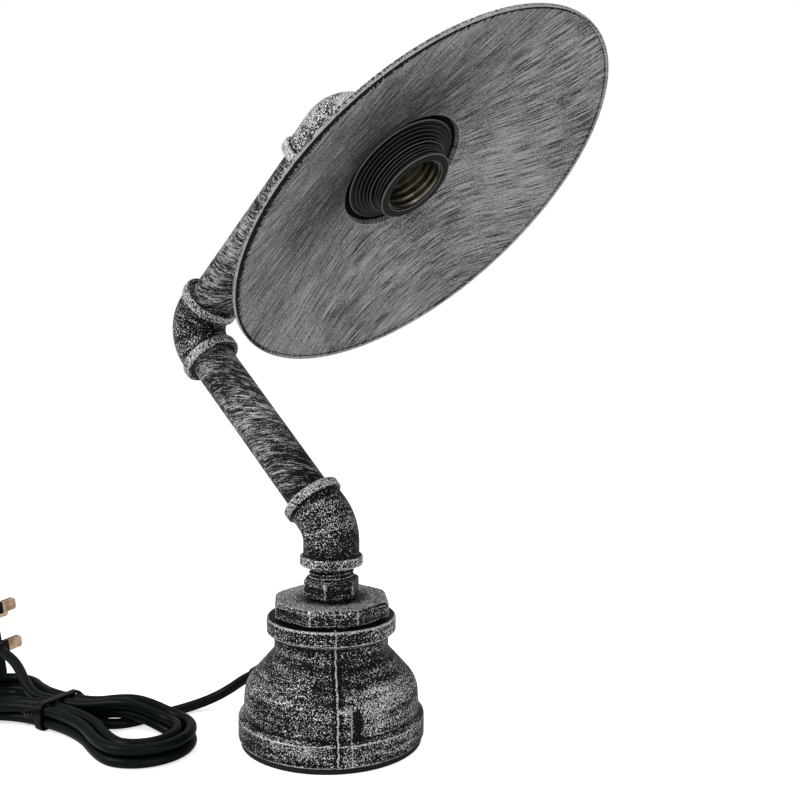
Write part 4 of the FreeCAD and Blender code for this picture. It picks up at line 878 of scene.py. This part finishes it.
def tie_band():
    """Strap round the waist: a flat rounded section, 1.2 by 4 mm, carried round the stack of cords. Point =
    centre + V * v + up * z + outward * thickness + U * width."""
    low, high = WAIST_HEIGHT - 3.3, WAIST_HEIGHT + HANK_PITCH + 3.3
    left, right = -11.85, 17.55
    corners = [(left, low), (right, low), (right, low + 6.6), (right - HANK_PITCH, high), (left, high)]
    v, z, _ = soften([corner + (2.8,) for corner in corners], 0.8, 8)
    ahead = np.column_stack([np.roll(v, -1) - np.roll(v, 1), np.roll(z, -1) - np.roll(z, 1)])
    ahead = ahead / np.hypot(*ahead.T)[:, None]
    thick, wide, _ = soften([(-0.6, -2.0, 0.5), (0.6, -2.0, 0.5), (0.6, 2.0, 0.5), (-0.6, 2.0, 0.5)], 0.4, 4)
    v = v[:, None] + ahead[:, 1:] * thick
    z = z[:, None] - ahead[:, :1] * thick
    across = HANK_U * (wide[None, :, None] + 0 * v[..., None])
    return HANK_CENTRE + HANK_V * v[..., None] + UP * z[..., None] + across


def tie_wires():
    """The tie's two wires, each a helix: centre + 0.75 mm circling once in 5 mm, opposite each other."""
    way = np.array([-0.85, -0.15, 0.35])
    way = way / np.linalg.norm(way)
    knot = HANK_CENTRE + HANK_V * -12.1 + UP * (WAIST_HEIGHT + 5.35)
    ahead = HANK_U * -way[1] + HANK_V * way[0] + UP * way[2]
    side = np.cross(ahead, UP)
    side = side / np.linalg.norm(side)
    across = np.cross(ahead, side)
    along = np.linspace(0, 10.5, 60)[:, None]
    wires = []
    for number in (0, 1):
        turn = along * 2 * np.pi / 5 + np.pi * number
        path = knot + ahead * along + 0.75 * (side * np.cos(turn) + across * np.sin(turn))
        wires.append(tube("tie_wire_%d" % (number + 1), path, 0.7))
    return wires


# Stage

def looking(place, back, roll=0.0):
    """Matrix of something that looks along minus back, turned by roll degrees about it."""
    right = np.cross(UP, back)
    right = right / np.linalg.norm(right)
    top = np.cross(back, right)
    turn = np.radians(roll)
    matrix = np.eye(4)
    matrix[:3, 0] = right * np.cos(turn) + top * np.sin(turn)
    matrix[:3, 1] = -right * np.sin(turn) + top * np.cos(turn)
    matrix[:3, 2] = back
    matrix[:3, 3] = place
    return Matrix(matrix.tolist())


class LAMP_OT_stage(bpy.types.Operator):
    """Pale floor, plain soft lights and the camera."""

    bl_idname = "lamp.stage"
    bl_label = "Stage"

    def execute(self, context):
        scene = context.scene
        mesh = bpy.data.meshes.new("floor")
        mesh.from_pydata([(-6, -6, 0), (6, -6, 0), (6, 6, 0), (-6, 6, 0)], [], [(0, 1, 2, 3)])
        mesh.materials.append(material("white_paper", white_paper))
        floor = bpy.data.objects.new("floor", mesh)
        scene.collection.objects.link(floor)

        # The world is white to the eye and through glass, half as bright in reflections, and dimmer as light
        scene.world = bpy.data.worlds.new("studio")
        scene.world.use_nodes = True
        tree = scene.world.node_tree
        tree.nodes.clear()
        strength = 0.42
        for ray, share in (("Is Camera Ray", 1.0), ("Is Transmission Ray", 1.0), ("Is Glossy Ray", 0.45)):
            seen = add(tree, "Math", (add(tree, "LightPath", out=ray), share), operation="MULTIPLY")
            strength = add(tree, "Math", (seen, strength), operation="MAXIMUM")
        sky = add(tree, "Background", {"Color": (1, 1, 1, 1), "Strength": strength})
        add(tree, "OutputWorld", {"Surface": sky})

        # Place, size and power of each round soft light; all of them point at the middle of the lamp
        lamps = (("key", (-0.75, -1.15, 1.05), 0.9, 15.0), ("fill", (1.35, -0.75, 0.55), 1.1, 7.0),
                 ("top", (0.1, 0.25, 1.5), 1.0, 9.0))
        for name, place, size, power in lamps:
            light = bpy.data.lights.new(name, "AREA")
            light.shape, light.size, light.energy = "DISK", size, power
            lamp = bpy.data.objects.new(name, light)
            scene.collection.objects.link(lamp)
            back = np.array(place) - np.array([-0.01, -0.02, 0.18])
            lamp.matrix_world = looking(np.array(place), back / np.linalg.norm(back))

        # Solved from the photograph: the lens, the camera's place, its direction and a hair's roll
        view = bpy.data.cameras.new("camera")
        view.lens, view.sensor_width = 48.13, 36.0
        view.clip_start, view.clip_end = 0.01, 20.0
        camera = bpy.data.objects.new("camera", view)
        scene.collection.objects.link(camera)
        place, back = np.array([0.302657, -0.385994, 0.199956]), np.array([0.56309, -0.82224, 0.08280])
        camera.matrix_world = looking(place, back, 0.23)
        scene.camera = camera
        scene.view_settings.view_transform = "Standard"
        return {"FINISHED"}


class LAMP_PT_panel(bpy.types.Panel):
    """Sidebar panel that lists the lamp's sizes, colours and pieces."""

    bl_idname = "LAMP_PT_panel"
    bl_label = "Pipe lamp"
    bl_space_type = "VIEW_3D"
    bl_region_type = "UI"
    bl_category = "Pipe lamp"

    def draw(self, context):
        for group in (context.scene.lamp_sizes, context.scene.lamp_colours):
            for name in group.__annotations__:
                self.layout.prop(group, name)
        for operator in OPERATORS:
            self.layout.operator(operator.bl_idname)


OPERATORS = (LAMP_OT_stage, LAMP_OT_cord, LAMP_OT_foot, LAMP_OT_nipple, LAMP_OT_elbows, LAMP_OT_pipes,
             LAMP_OT_shade, LAMP_OT_holder)
CLASSES = (LampSizes, LampColours, LAMP_PT_panel) + OPERATORS


def register():
    for group in CLASSES:
        bpy.utils.register_class(group)
    bpy.types.Scene.lamp_sizes = bpy.props.PointerProperty(type=LampSizes)
    bpy.types.Scene.lamp_colours = bpy.props.PointerProperty(type=LampColours)


def unregister():
    del bpy.types.Scene.lamp_colours
    del bpy.types.Scene.lamp_sizes
    for group in reversed(CLASSES):
        bpy.utils.unregister_class(group)


def main():
    """Register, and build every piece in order."""
    register()
    bpy.ops.lamp.stage()
    bpy.ops.lamp.cord()
    bpy.ops.lamp.foot()
    bpy.ops.lamp.nipple()
    bpy.ops.lamp.elbows()
    bpy.ops.lamp.pipes()
    bpy.ops.lamp.shade()
    bpy.ops.lamp.holder()


if __name__ == "__main__":
    main()
